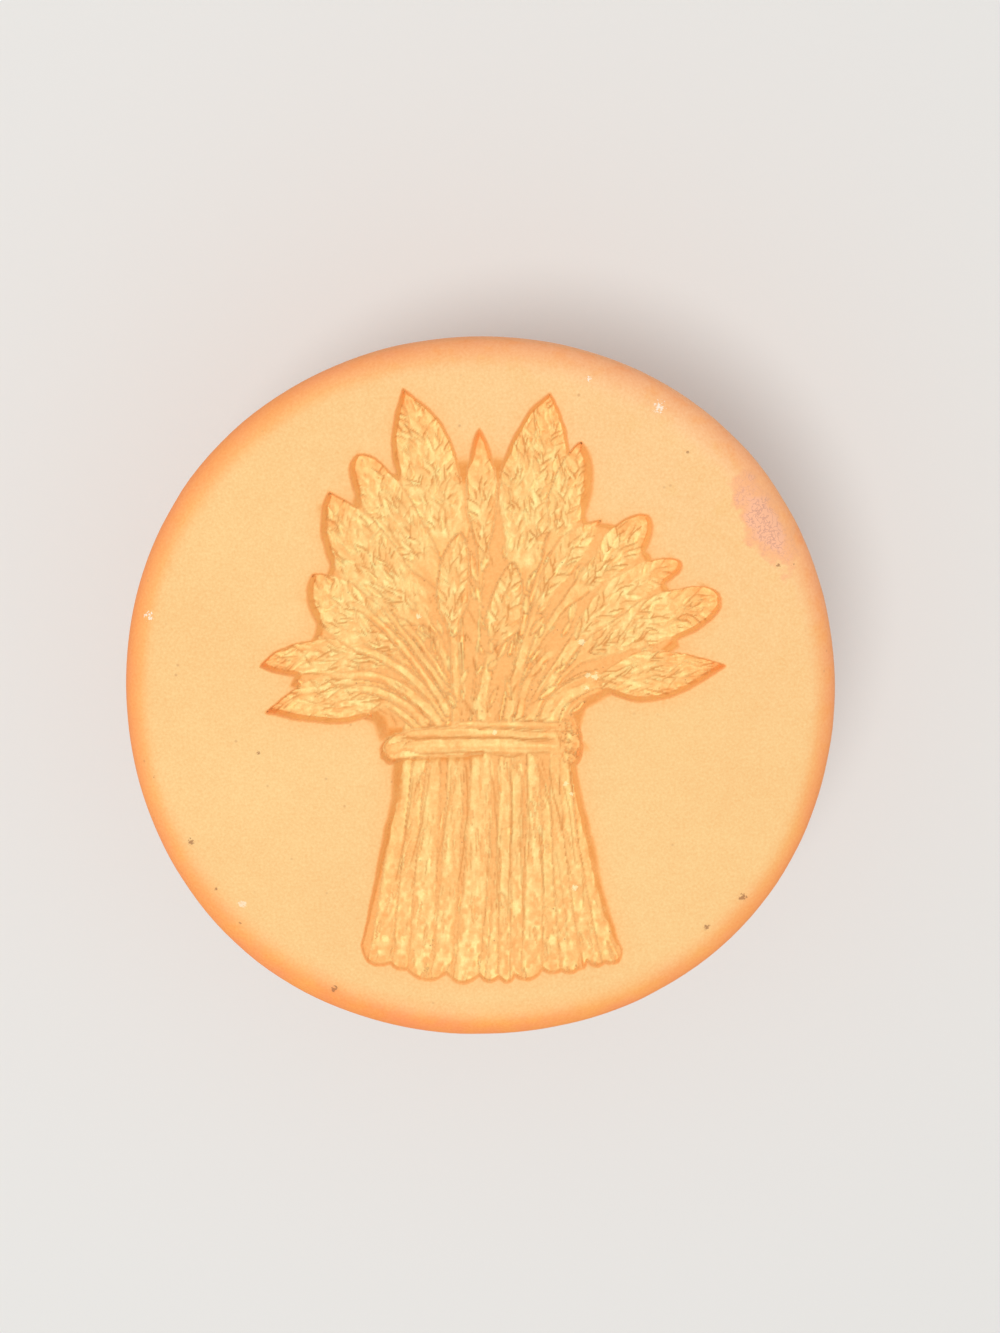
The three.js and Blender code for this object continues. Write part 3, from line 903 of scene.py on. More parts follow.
# %% [markdown]
# ## The whole sheaf
# One function lays everything in order: straws, ground, stems and ears from the back of the
# sheaf to the front, then the band over all. Nothing in it was drawn with a ruler, so the
# points are first shifted a few hundredths of a millimetre by soft lumps, and a last pass adds
# the crumbly surface that damp clay keeps from its mould.

# %% Press the whole sheaf
SHEAF_SEED = 5
SHEAF_SIZE = 1.018
SHAKE = 0.05
FINE_SHAKE = 0.02
CRUMBS = 0.05
FINE_CRUMBS = 0.035


def press_sheaf(x, y):
    """The face with its whole sheaf, at points given in mm."""
    random = np.random.default_rng(SHEAF_SEED)
    shifted_x = x / SHEAF_SIZE + SHAKE * lumps(x, y, 0.9, 51) + FINE_SHAKE * lumps(x, y, 0.35, 52)
    shifted_y = y / SHEAF_SIZE + SHAKE * lumps(x, y, 0.9, 53) + FINE_SHAKE * lumps(x, y, 0.35, 54)
    face = PressedFace(shifted_x, shifted_y)
    press_straws(face, random)
    press_ground(face)
    press_husks(face, random)
    for foot, tip, half in LEAVES:
        press_leaf(face, foot, tip, half, 0)
    for name in EARS:
        if name == FIRST_IN_FRONT:
            press_bundles(face, random)
        press_stem(face, name, random)
        press_ear(face, name, random)
    scratch_fan(face, random)
    press_band(face)
    pressed = eased(face.depth / 0.4)
    crumbs = CRUMBS * lumps(x, y, 0.3, 21) + FINE_CRUMBS * lumps(x, y, 0.17, 22)
    face.depth += pressed * crumbs
    return face


probe = press_sheaf(np.array([0.0, 0.9, -8.0]), np.array([22.9, -20.0, 0.4]))
print("depths in mm:", probe.depth.round(2))

# %% [markdown]
# ## How near the sheaf is
# Clay gives a little round a pressed mould, so the bare face dips towards the sheaf, and painted
# shade deepens its colour slightly there. A coarse map of the sheaf, blurred, tells every point how
# near it is. Measuring real distances would be exact, but nothing about soft clay is.

# %% Find how near the bare face is to the sheaf
HAZE_STEP = 0.25
HAZE_BLURS = 4
HAZE_DEPTH = 0.3
HAZE_REACH = 2


def blurred(grid):
    """A grid whose every value is the mean of the values within HAZE_REACH cells."""
    for axis in (0, 1):
        shifts = range(-HAZE_REACH, HAZE_REACH + 1)
        grid = sum(np.roll(grid, shift, axis) for shift in shifts) / len(shifts)
    return grid


def haze_grid():
    """A coarse map of the face: 1 deep inside the sheaf, fading to 0 within two millimetres of it."""
    ticks = np.arange(-FACE_RADIUS, FACE_RADIUS + HAZE_STEP, HAZE_STEP)
    across, up = np.meshgrid(ticks, ticks, indexing="ij")
    depth = press_sheaf(across.ravel(), up.ravel()).depth
    grid = eased(depth / HAZE_DEPTH).reshape(across.shape)
    for _ in range(HAZE_BLURS):
        grid = blurred(grid)
    return grid


def read_grid(grid, x, y):
    """The grid's value at each x, y, blended between its four nearest points."""
    across, up = (x + FACE_RADIUS) / HAZE_STEP, (y + FACE_RADIUS) / HAZE_STEP
    column = np.clip(across.astype(int), 0, grid.shape[0] - 2)
    row = np.clip(up.astype(int), 0, grid.shape[1] - 2)
    across, up = across - column, up - row
    below = grid[column, row] * (1 - across) + grid[column + 1, row] * across
    above = grid[column, row + 1] * (1 - across) + grid[column + 1, row + 1] * across
    return below * (1 - up) + above * up


near_sheaf = haze_grid()
print("map of %d by %d points" % near_sheaf.shape)

# %% [markdown]
# ## The disc's grid
# The face needs points a tenth of a millimetre apart inside the sheaf and almost none on the
# bare clay around it. A square grid rounded into a disc keeps its cells square in the middle.
# The cells near the sheaf are halved, and of those the ones that it touches are divided again.

# %% Round a grid into the face and divide it under the sheaf
SHOULDER_RADIUS = 2.4
LAND_RADIUS = FACE_RADIUS - SHOULDER_RADIUS
FACE_CELLS = 45
NEAR_CUTS = 1
FINE_CUTS = 4
SHEAF_NEAR = 0.06
SHEAF_TOUCHES = 0.01
CELL_TESTS = 4
CORNER_FULLNESS = 0.013


def fullness(x, y):
    """How much further out the disc reaches at its four corners, as a hand leaves it."""
    angle = np.arctan2(y, x)
    return 1 + CORNER_FULLNESS * np.sin(2 * angle) ** 2


def test_points(cells):
    """The x and the y of a small grid of points over each four-sided cell, one row for a cell."""
    corners = np.array([[vertex.co.xy for vertex in cell.verts] for cell in cells])
    shares = np.linspace(0, 1, CELL_TESTS)
    across, up = (grid.ravel()[:, None] for grid in np.meshgrid(shares, shares))
    low = corners[:, 0, None] * (1 - across) + corners[:, 1, None] * across
    high = corners[:, 3, None] * (1 - across) + corners[:, 2, None] * across
    points = low * (1 - up) + high * up
    return points[..., 0], points[..., 1]


def divide(bm, cells, chosen, cuts):
    """Cuts the edges of the chosen cells into equal parts and fills the cells with a grid."""
    touched = [cell for cell, hit in zip(cells, chosen) if hit]
    edges = list({edge for cell in touched for edge in cell.edges})
    bmesh.ops.subdivide_edges(bm, edges=edges, cuts=cuts, use_grid_fill=True)
    print("%d of %d cells are divided" % (len(touched), len(cells)))


def face_grid():
    """The face as a flat grid, round at its edge and divided finely where the sheaf is."""
    bm = bmesh.new()
    bmesh.ops.create_grid(bm, x_segments=FACE_CELLS, y_segments=FACE_CELLS, size=1)
    for vertex in bm.verts:
        u, v = vertex.co.x, vertex.co.y
        x = LAND_RADIUS * u * math.sqrt(1 - v * v / 2)
        y = LAND_RADIUS * v * math.sqrt(1 - u * u / 2)
        vertex.co = Vector((x, y, FACE_HEIGHT))
        vertex.co.xy *= 1 + (fullness(x, y) - 1) * (math.hypot(x, y) / LAND_RADIUS) ** 4
    cells = list(bm.faces)
    x, y = test_points(cells)
    divide(bm, cells, read_grid(near_sheaf, x, y).max(axis=1) > SHEAF_NEAR, NEAR_CUTS)
    cells = [cell for cell in bm.faces if len(cell.verts) == 4]
    x, y = test_points(cells)
    depth = press_sheaf(x.ravel(), y.ravel()).depth.reshape(x.shape)
    divide(bm, cells, depth.max(axis=1) > SHEAF_TOUCHES, FINE_CUTS)
    return bm


# %% [markdown]
# ## The rim, the wall and the back
# The edge of a pressed disc is rounded by a wet thumb, its wall stands upright and its back
# swells down to the handle. Each is a ring drawn out of the one before, so the whole head is
# one closed skin, as one lump of clay is.

# %% Draw the rim out ring by ring and close the back
RIM_FOOT = 28.8
BACK_EDGE_RADIUS = 1.8
BACK_LAND_RADIUS = 10.9
SHOULDER_RINGS = 9
WALL_RINGS = 7
EDGE_RINGS = 6
BACK_RINGS = 14
BACK_LAND_RINGS = (9.0, 6.0, 3.0, 1.0)


def rim_rings():
    """Radius and height of each ring, from the shoulder down the wall to the back's middle."""
    rings = []
    for turn in np.linspace(0, math.pi / 2, SHOULDER_RINGS)[1:]:
        rings.append((LAND_RADIUS + SHOULDER_RADIUS * math.sin(turn),
                      FACE_HEIGHT - SHOULDER_RADIUS * (1 - math.cos(turn))))
    wall_top, wall_foot = FACE_HEIGHT - SHOULDER_RADIUS, RIM_FOOT + BACK_EDGE_RADIUS
    for height in np.linspace(wall_top, wall_foot, WALL_RINGS)[1:]:
        rings.append((FACE_RADIUS, height))
    for turn in np.linspace(0, math.pi / 2, EDGE_RINGS)[1:]:
        rings.append((FACE_RADIUS - BACK_EDGE_RADIUS * (1 - math.cos(turn)),
                      wall_foot - BACK_EDGE_RADIUS * math.sin(turn)))
    swell_radius = FACE_RADIUS - BACK_EDGE_RADIUS
    for share in np.linspace(0, 1, BACK_RINGS)[1:]:
        radius = swell_radius + (BACK_LAND_RADIUS - swell_radius) * share
        rings.append((radius, RIM_FOOT - (RIM_FOOT - head_low.z) * (1 - (1 - share) ** 2)))
    return rings + [(radius, head_low.z) for radius in BACK_LAND_RINGS]


def draw_rings(bm, rings):
    """Draws the open edge of the face out to each ring in turn and closes the last one."""
    loop = [edge for edge in bm.edges if edge.is_boundary]
    for radius, height in rings:
        drawn = bmesh.ops.extrude_edge_only(bm, edges=loop)["geom"]
        loop = [g for g in drawn if isinstance(g, bmesh.types.BMEdge) and g.is_boundary]
        for vertex in (g for g in drawn if isinstance(g, bmesh.types.BMVert)):
            way = vertex.co.xy.normalized()
            out = radius * (1 + (fullness(way.x, way.y) - 1) * min(1, radius / LAND_RADIUS))
            vertex.co = Vector((way.x * out, way.y * out, height))
    bmesh.ops.edgeloop_fill(bm, edges=loop)
    bmesh.ops.recalc_face_normals(bm, faces=bm.faces)


# %% Give a mesh its object, its place in the frame and its stand-in
def finished(bm, name, node):
    """Turns a bmesh in mm into a smooth piece in metres that stands for a node of the frame."""
    mesh = bpy.data.meshes.new(name)
    bm.to_mesh(mesh)
    bm.free()
    mesh.transform(Matrix.Scale(MM, 4))
    mesh.polygons.foreach_set("use_smooth", [True] * len(mesh.polygons))
    piece = bpy.data.objects.new(name, mesh)
    bpy.context.scene.collection.objects.link(piece)
    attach(piece, "root")
    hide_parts(node)
    mesh.calc_loop_triangles()
    print("%s: %d triangles" % (name, len(mesh.loop_triangles)))
    return piece


def points_of(mesh):
    """A mesh's points in mm, one row each."""
    flat = np.empty(len(mesh.vertices) * 3)
    mesh.vertices.foreach_get("co", flat)
    return flat.reshape(-1, 3) / MM


def move_points(mesh, points):
    """Puts a mesh's points where the rows say, in mm."""
    mesh.vertices.foreach_set("co", (points * MM).ravel())
    mesh.update()


def write_attribute(mesh, name, values):
    """Stores one value on each point, for the finish to read."""
    attribute = mesh.attributes.new(name, "FLOAT", "POINT")
    attribute.data.foreach_set("value", np.asarray(values, np.float32))


# %% Make the head and press its face
LAND_DIP = 0.05
LIP_DIP = 0.1
THUMB_DIP = 0.1

bm = face_grid()
draw_rings(bm, rim_rings())
head = finished(bm, "pressed_head", "stamp_head")

points = points_of(head.data)
on_face = points[:, 2] > FACE_HEIGHT - 1e-4
x, y = points[on_face, 0], points[on_face, 1]
face = press_sheaf(x, y)
haze = read_grid(near_sheaf, x, y)
land = LAND_DIP * (0.5 + 0.35 * lumps(x, y, 7, 31) + 0.15 * lumps(x, y, 2, 32))
points[on_face, 2] -= face.depth + land + LIP_DIP * haze

radius = np.hypot(points[:, 0], points[:, 1])
angle = np.arctan2(points[:, 1], points[:, 0])
on_rim = (~on_face) & (radius > BACK_LAND_RADIUS)
height = points[:, 2]
dents = 0.5 + 0.3 * lumps(angle * 4, height / 3, 1.0, 33) + 0.2 * lumps(angle * 13, height / 1.5, 1.0, 34)
inward = np.where(on_rim, THUMB_DIP * dents * eased((radius - LAND_RADIUS) / 1.0), 0)
points[:, :2] *= (1 - inward / np.maximum(radius, 1))[:, None]
move_points(head.data, points)
print("deepest hollow %.2f mm" % (FACE_HEIGHT - points[on_face, 2].min()))

# %% Keep on each point what the finish needs to know
SUNK_FROM = 0.18
# Sides of the stamp: the rim's painted shade is deepest on the lower left and on the right, and the face is
# painted paler towards the upper right
RIM_SHADE_SIDE = math.radians(257)
PALE_SIDE_WAY = math.radians(50)
SHADED_SIDE = 0
RIM_TONE_FROM = 23.2
RIM_TONE_OVER = 2.1
RIM_SHADE_WIDER = 0.8
# How far out the face and its edge are painted paler towards the upper right
LAND_PALING = 0.2
LAND_PALING_FROM = 12
LAND_PALING_OVER = 9
EDGE_PALING = 0.28
EDGE_PALING_FROM = 22.8
EDGE_PALING_OVER = 1.5

normals = np.empty(len(head.data.vertices) * 3)
head.data.vertex_normals.foreach_get("vector", normals)
steep = 1 - np.clip(normals.reshape(-1, 3)[:, 2], 0, 1)
write_attribute(head.data, "steep", steep)
for name, values in (
    ("sunk", eased(face.depth / SUNK_FROM)),
    ("crest", face.crest),
    ("line", face.line),
    ("wall", face.wall),
    ("haze", haze),
):
    everywhere = np.zeros(len(points))
    everywhere[on_face] = np.clip(values, 0, 1)
    write_attribute(head.data, name, everywhere)


def facing(side, narrowness):
    """1 on one side of the stamp, and 0 beyond a quarter turn from it."""
    return np.maximum(np.cos(angle - side), 0) ** narrowness


# Painted shade of the rounded rim: deeper towards its edge, most on the lower left and a little on the
# right, varied by the thumb dents
rimward = eased((radius - RIM_TONE_FROM + RIM_SHADE_WIDER * facing(RIM_SHADE_SIDE, 1)) / RIM_TONE_OVER)
deeper = 0.18 + 0.7 * facing(RIM_SHADE_SIDE, 3) + 0.18 * facing(SHADED_SIDE, 4) + 0.25 * dents
write_attribute(head.data, "outer", np.clip(rimward * deeper, 0, 1))
# A paler pink towards the upper right, on the outer land and on the edge
on_land = LAND_PALING * eased((radius - LAND_PALING_FROM) / LAND_PALING_OVER)
on_edge = EDGE_PALING * eased((radius - EDGE_PALING_FROM) / EDGE_PALING_OVER)
write_attribute(head.data, "dusted", facing(PALE_SIDE_WAY, 2) * (on_land + on_edge))
print("steepest tone %.2f, mean crest %.2f" % (steep.max(), face.crest[face.depth > 0.3].mean()))

# %% [markdown]
# ## The slip joint and the knob
# The knob was turned on a wheel, so it is a profile spun round its axis, with the rings that
# fingers leave in turning clay. The slip between knob and head was wiped round with a
# fingertip, which leaves a soft bead that flares out to the disc.

# %% Spin a profile round the stamp's axis
def spun(profile, steps):
    """A closed skin from (radius, height) points, the first and the last on the axis."""
    bm = bmesh.new()
    verts = [bm.verts.new((r, 0, z)) for r, z in profile]
    edges = [bm.edges.new(pair) for pair in zip(verts, verts[1:])]
    bmesh.ops.spin(
        bm, geom=verts + edges, axis=(0, 0, 1), cent=(0, 0, 0), steps=steps,
        angle=2 * math.pi, use_merge=True,
    )
    bmesh.ops.remove_doubles(bm, verts=bm.verts, dist=1e-4)
    bmesh.ops.recalc_face_normals(bm, faces=bm.faces)
    return bm


def climb(start, end, steps):
    """A profile that leaves start and reaches end upright, as a swelling does."""
    profile = []
    for s in np.linspace(0, 1, steps + 1)[1:]:
        out = 3 * s * s - 2 * s ** 3
        up = 3 * s * (1 - s) * 0.5 * (1 - s) + 3 * s * s * (1 - s) * 0.5 + s ** 3
        profile.append((start[0] + (end[0] - start[0]) * out, start[1] + (end[1] - start[1]) * up))
    return profile


# %% Turn the knob
KNOB_END_RADIUS = 9.5
KNOB_END_ROUNDING = 1.4
KNOB_BULB = (knob_high.x, 7.5)
KNOB_WAIST = (7.0, 19)
KNOB_ROOT = (8.2, knob_high.z)
KNOB_STEPS = 144
TURNING_PITCH = 0.9
TURNING_DEPTH = 0.035
FINGER_DEPTH = 0.12
END_FACETS = 6
SWELL_FACETS = 26
WAIST_FACETS = 40


def knob_profile():
    """The knob from its flat end over the bulb and the waist to its root."""
    profile = [(0, 0), (3, 0), (6, 0)]
    for turn in np.linspace(0, math.pi / 2, END_FACETS + 1):
        profile.append((KNOB_END_RADIUS - KNOB_END_ROUNDING * (1 - math.sin(turn)),
                        KNOB_END_ROUNDING * (1 - math.cos(turn))))
    for start, end, steps in (
        ((KNOB_END_RADIUS, KNOB_END_ROUNDING), KNOB_BULB, SWELL_FACETS),
        (KNOB_BULB, KNOB_WAIST, WAIST_FACETS),
        (KNOB_WAIST, KNOB_ROOT, SWELL_FACETS),
    ):
        profile += climb(start, end, steps)
    return profile + [(4, knob_high.z), (0, knob_high.z)]


knob = finished(spun(knob_profile(), KNOB_STEPS), "turned_knob", "handle_knob")
points = points_of(knob.data)
radius = np.hypot(points[:, 0], points[:, 1])
angle = np.arctan2(points[:, 1], points[:, 0])
height = points[:, 2]
# No marks on the flat end, nor where the slip hides the root
skin = eased((height - 0.3) / 1.5) * eased((knob_high.z - height) / 0.8) * (radius > 5)
turns = height / TURNING_PITCH + angle / (2 * math.pi)
rings = TURNING_DEPTH * (0.5 + 0.5 * np.cos(2 * math.pi * turns))
sideways, upwards = np.cos(angle) * 2, height / 6 + np.sin(angle) * 2
presses = FINGER_DEPTH * (0.5 + 0.5 * lumps(sideways, upwards, 1.0, 41))
points[:, :2] *= (1 - skin * (rings + presses) / np.maximum(radius, 1))[:, None]
move_points(knob.data, points)

# %% Wipe the bead of slip
BEAD_OUT = 9.3
BEAD_FACETS = 8
BEAD_STEPS = 144


def bead_profile():
    """A bead that leaves the knob upright and flares out to lie flat on the disc."""
    profile = [(0, slip_low.z), (6, slip_low.z)]
    for s in np.linspace(0, 1, BEAD_FACETS + 1):
        out = (1 - s) ** 2 * KNOB_ROOT[0] + 2 * s * (1 - s) * KNOB_ROOT[0] + s * s * BEAD_OUT
        up = (1 - s) ** 2 * slip_low.z + 2 * s * (1 - s) * slip_high.z + s * s * slip_high.z
        profile.append((out, up))
    return profile + [(6, slip_high.z), (0, slip_high.z)]


slip = finished(spun(bead_profile(), BEAD_STEPS), "wiped_slip", "slip_joint")

# %% [markdown]
# ## Writing materials as arithmetic
# A material is a recipe of nodes. Written out one by one it hides its idea, so a small class
# wraps a node's output and lets Python's own + - * build the Math nodes: a mask then reads
# like the sum that it is.

# %% Wrap a socket so that Python's operators build nodes
class Wire:
    """A node's output. Arithmetic on it adds Math nodes."""

    def __init__(self, recipe, socket):
        self.recipe, self.socket = recipe, socket

    def math(self, operation, *others):
        """A Math node of this value and the others."""
        sockets = dict(enumerate((self,) + others))
        return self.recipe.node("ShaderNodeMath", {"operation": operation}, sockets)

    def __add__(self, other):
        return self.math("ADD", other)

    def __mul__(self, other):
        return self.math("MULTIPLY", other)

    def __sub__(self, other):
        return self.math("SUBTRACT", other)

    def __truediv__(self, other):
        return self.math("DIVIDE", other)

    def __rsub__(self, other):
        return self.recipe.node("ShaderNodeMath", {"operation": "SUBTRACT"}, {0: other, 1: self})

    __radd__ = __add__
    __rmul__ = __mul__

    def clamped(self):
        """This value, held between 0 and 1."""
        return self.recipe.node("ShaderNodeClamp", {}, {0: self})


print("arithmetic ready")

# %% Let a recipe make the nodes of one material
class Recipe:
    """One material and the nodes it is made of."""

    def __init__(self, name):
        self.material = bpy.data.materials.new(name)
        self.material.use_nodes = True
        self.tree = self.material.node_tree
        self.tree.nodes.clear()

    def node(self, kind, settings, sockets, output=0):
        """Adds a node with its settings and its sockets' values or wires, and returns an output."""
        made = self.tree.nodes.new(kind)
        for name, value in settings.items():
            if name == "stops":
                ramp = made.color_ramp.elements
                while len(ramp) < len(value):
                    ramp.new(1)
                for stop, (place, colour) in zip(ramp, value):
                    stop.position, stop.color = place, colour
            else:
                setattr(made, name, value)
        for name, value in sockets.items():
            if isinstance(value, Wire):
                self.tree.links.new(value.socket, made.inputs[name])
            else:
                made.inputs[name].default_value = value
        return Wire(self, made.outputs[output]) if made.outputs else None

    def mixed(self, share, first, second, blend="MIX"):
        """The first colour, turning to the second as share goes from 0 to 1."""
        settings = {"data_type": "RGBA", "blend_type": blend}
        return self.node("ShaderNodeMix", settings, {0: share, 6: first, 7: second}, 2)

    def noise(self, place, scale, detail=3.0, roughness=0.55):
        """Noise about 0.5, with scale lumps to a millimetre."""
        sockets = {"Vector": place, "Scale": scale, "Detail": detail, "Roughness": roughness}
        return self.node("ShaderNodeTexNoise", {}, sockets)

    def vectors(self, operation, first, second):
        """A Vector Math node of two vectors."""
        return self.node("ShaderNodeVectorMath", {"operation": operation}, {0: first, 1: second})

    def length(self, vector):
        """How long a vector is."""
        return self.node("ShaderNodeVectorMath", {"operation": "LENGTH"}, {0: vector}, 1)

    def attribute(self, name):
        """A value that the mesh carries on its points."""
        return self.node("ShaderNodeAttribute", {"attribute_name": name}, {}, 2)


def clay(red, green, blue):
    """A colour as it is read off a screen, 0 to 255, for a node's socket."""
    return tuple(((c / 255 + 0.055) / 1.055) ** 2.4 for c in (red, green, blue)) + (1.0,)


print("land colour:", [round(c, 3) for c in clay(254, 206, 140)])

# %% [markdown]
# ## Fired clay
# Unglazed clay is matt and a little chalky. Close up it has three scales of variety: slow
# clouds where the kiln burnt it paler or deeper, a mottle of a millimetre or so, and a grain
# as fine as sand. All three read the place on the object in millimetres, so that they keep
# their real size on every piece. A few dark specks of iron and some ragged spots go on top.

# %% Mix the clay that all pieces share
SPECK = clay(176, 116, 78)


class Clay(Recipe):
    """Fired clay, its place on the object in mm and the colour that it has so far."""

    def __init__(self, name, colour):
        super().__init__(name)
        here = self.node("ShaderNodeTexCoord", {}, {}, 3)
        self.place = self.node("ShaderNodeVectorMath", {"operation": "SCALE"}, {0: here, "Scale": 1 / MM})
        self.clouds = self.noise(self.place, 0.09, 2.0)
        self.mottle = self.noise(self.place, 0.8, 4.0)
        self.grain = self.noise(self.place, 5.0, 2.0, 0.6)
        self.height = self.grain * 0.6 + self.mottle * 0.4
        self.colour = colour

    def lay(self, colour, share):
        """Lays a colour over what is there, as far as share says."""
        self.colour = self.mixed(share, self.colour, colour)

    def vary(self, slow, middle, fine):
        """Makes the colour paler and deeper by its clouds, its mottle and its grain."""
        tone = (self.clouds - 0.5) * slow + (self.mottle - 0.5) * middle + (self.grain - 0.5) * fine
        red, green, blue = 1 + tone * 0.25, 1 + tone, 1 + tone * 1.5
        level = self.node("ShaderNodeCombineColor", {}, {0: red, 1: green, 2: blue})
        self.colour = self.mixed(1.0, self.colour, level, "MULTIPLY")

    def pepper(self, amount, scale=0.8):
        """Dark specks of iron, here and there."""
        cells = self.node("ShaderNodeTexVoronoi", {}, {"Vector": self.place, "Scale": scale})
        chosen = ((self.noise(self.place, 0.35, 0.0) - 0.56) * 12).clamped()
        speck = ((0.11 - cells) * 14).clamped() * chosen * amount
        self.lay(SPECK, speck)

    def spot(self, x, y, z, size, ragged=0.6, tall=1.0):
        """A ragged spot round a place in mm: 1 inside and 0 outside. A tall one reaches up and down."""
        gap = self.vectors("SUBTRACT", self.place, (x, y, z))
        away = self.length(self.vectors("MULTIPLY", gap, (1, 1, 1 / tall)))
        rough = (self.noise(self.place, 1.3 / size, 4.0, 0.7) - 0.5) * (ragged * 8 * size)
        return ((size - away + rough) / (0.25 * size)).clamped()

    def fire(self, roughness=0.88):
        """Closes the recipe with a matt skin whose sandy grain stands a few hundredths proud."""
        sand = {"Strength": 0.6, "Distance": 0.06 * MM, "Height": self.height}
        bump = self.node("ShaderNodeBump", {}, sand)
        skin = self.node(
            "ShaderNodeBsdfPrincipled", {},
            {"Base Color": self.colour, "Roughness": roughness - (self.grain - 0.5) * 0.12,
             "Specular IOR Level": 0.25, "Normal": bump},
        )
        self.node("ShaderNodeOutputMaterial", {}, {"Surface": skin})
        return self.material


print("clay ready")

# %% [markdown]
# ## The head's finish
# The face is palest where it is flat and bare. Wherever the clay turns away, on the rim and on
# the walls of every hollow, a deeper orange is painted on as shade, and the ground between the
# grains and stems is a deeper orange too, while their crests are a paler yellow, partly paler
# clay and partly painted highlight. Thin lines of painted shade run in the creases, painted
# shade deepens the face round the sheaf, and the face is painted paler towards the upper right.
# The mesh carries these as attributes, so the finish follows the relief exactly. On top come the
# marks of fire and use: a pink scorch with darker veins near the rim, chips that show pale clay
# and a few dark grains, then painted shade in small pits and painted highlights in the hollows.

# %% Choose the head's colours and the places of its marks
# Painted shade: the colour deepens as the clay turns away from the face, on the rim and on the walls
TURNED_SHADE_STOPS = (
    (0.0, clay(242, 197, 133)), (0.11, clay(247, 184, 112)), (0.21, clay(252, 177, 107)),
    (0.32, clay(255, 172, 102)), (0.52, clay(255, 163, 99)), (1.0, clay(247, 160, 98)),
)
GROUND_TONE = clay(246, 180, 108)
# Paler crests: partly paler clay, partly painted highlight
PALE_CREST_AND_HIGHLIGHT = clay(248, 227, 151)
# Painted shade on the walls of the hollows, and a lighter colour painted on the steepest walls, where the
# relief's own shading is darkest
WALL_SHADE = clay(235, 156, 80)
STEEP_WALL_PAINTED_LIGHT = clay(254, 188, 110)
# Painted shade in creases and along the edges of strokes
CREASE_SHADE = clay(208, 130, 58)
# Painted shade round the sheaf, where the face dips
NEAR_SHEAF_SHADE = clay(249, 179, 110)
# Painted shade of the rounded rim, mottled orange and pink
RIM_SHADE_ORANGE = clay(252, 161, 76)
RIM_SHADE_PINK = clay(251, 146, 88)
# A paler pink laid towards the upper right of the face and its edge
PALE_SIDE_TONE = clay(250, 200, 156)
SCORCH = clay(246, 178, 128)
SCORCH_HEART = clay(244, 184, 150)
SCORCH_VEIN = clay(204, 150, 128)
CHIP = clay(250, 236, 216)
GRIT = clay(150, 96, 62)
GLINT = clay(254, 240, 186)
# Painted highlights on the sheaf's crests: across, up, size
GLINTS = (
    (8.17, 1.24, 0.26), (7.68, 1.38, 0.2), (7.53, 0.45, 0.2), (7.38, 3.77, 0.26), (0.86, -2.46, 0.2),
    (5.76, -6.47, 0.18), (6.16, -7.22, 0.15), (6.09, -14.13, 0.2), (-4.14, 6.19, 0.18),
)
GLINT_DEPTH = 0.8
GLINT_RAGGED = 0.4
GLINT_TALL = 8.0
GLINT_STRENGTH = 0.7
SCORCH_PLACE = (20.4, 11.8)
SCORCH_SIZE = (1.75, 4.1)
SCORCH_TURN = math.radians(27)
SCORCH_REACH_DOWN = 3.0
# Chips on the bare face: across, up, size, strength
CHIPS = ((-23.2, 7.3, 0.36, 0.9), (13.4, 20.3, 0.4, 0.9), (8.5, 22.4, 0.2, 0.9), (-17.9, -14.0, 0.26, 0.5))
# Dark grains: across, up, size
GRAINS = (
    (18.2, -15.3, 0.28), (15.5, -17.4, 0.2), (-21.3, -9.2, 0.2), (-19.7, -12.8, 0.12), (-18.2, -15.4, 0.1),
    (-11.7, -20.8, 0.26), (-16.0, -2.9, 0.12), (-23.6, -4.3, 0.14), (15.2, 17.0, 0.12), (21.95, 10.9, 0.22),
    (21.3, 8.75, 0.13), (22.5, 8.7, 0.18),
)
GRIT_STRENGTH = 0.7
print(len(CHIPS), "chips and", len(GRAINS), "dark grains")

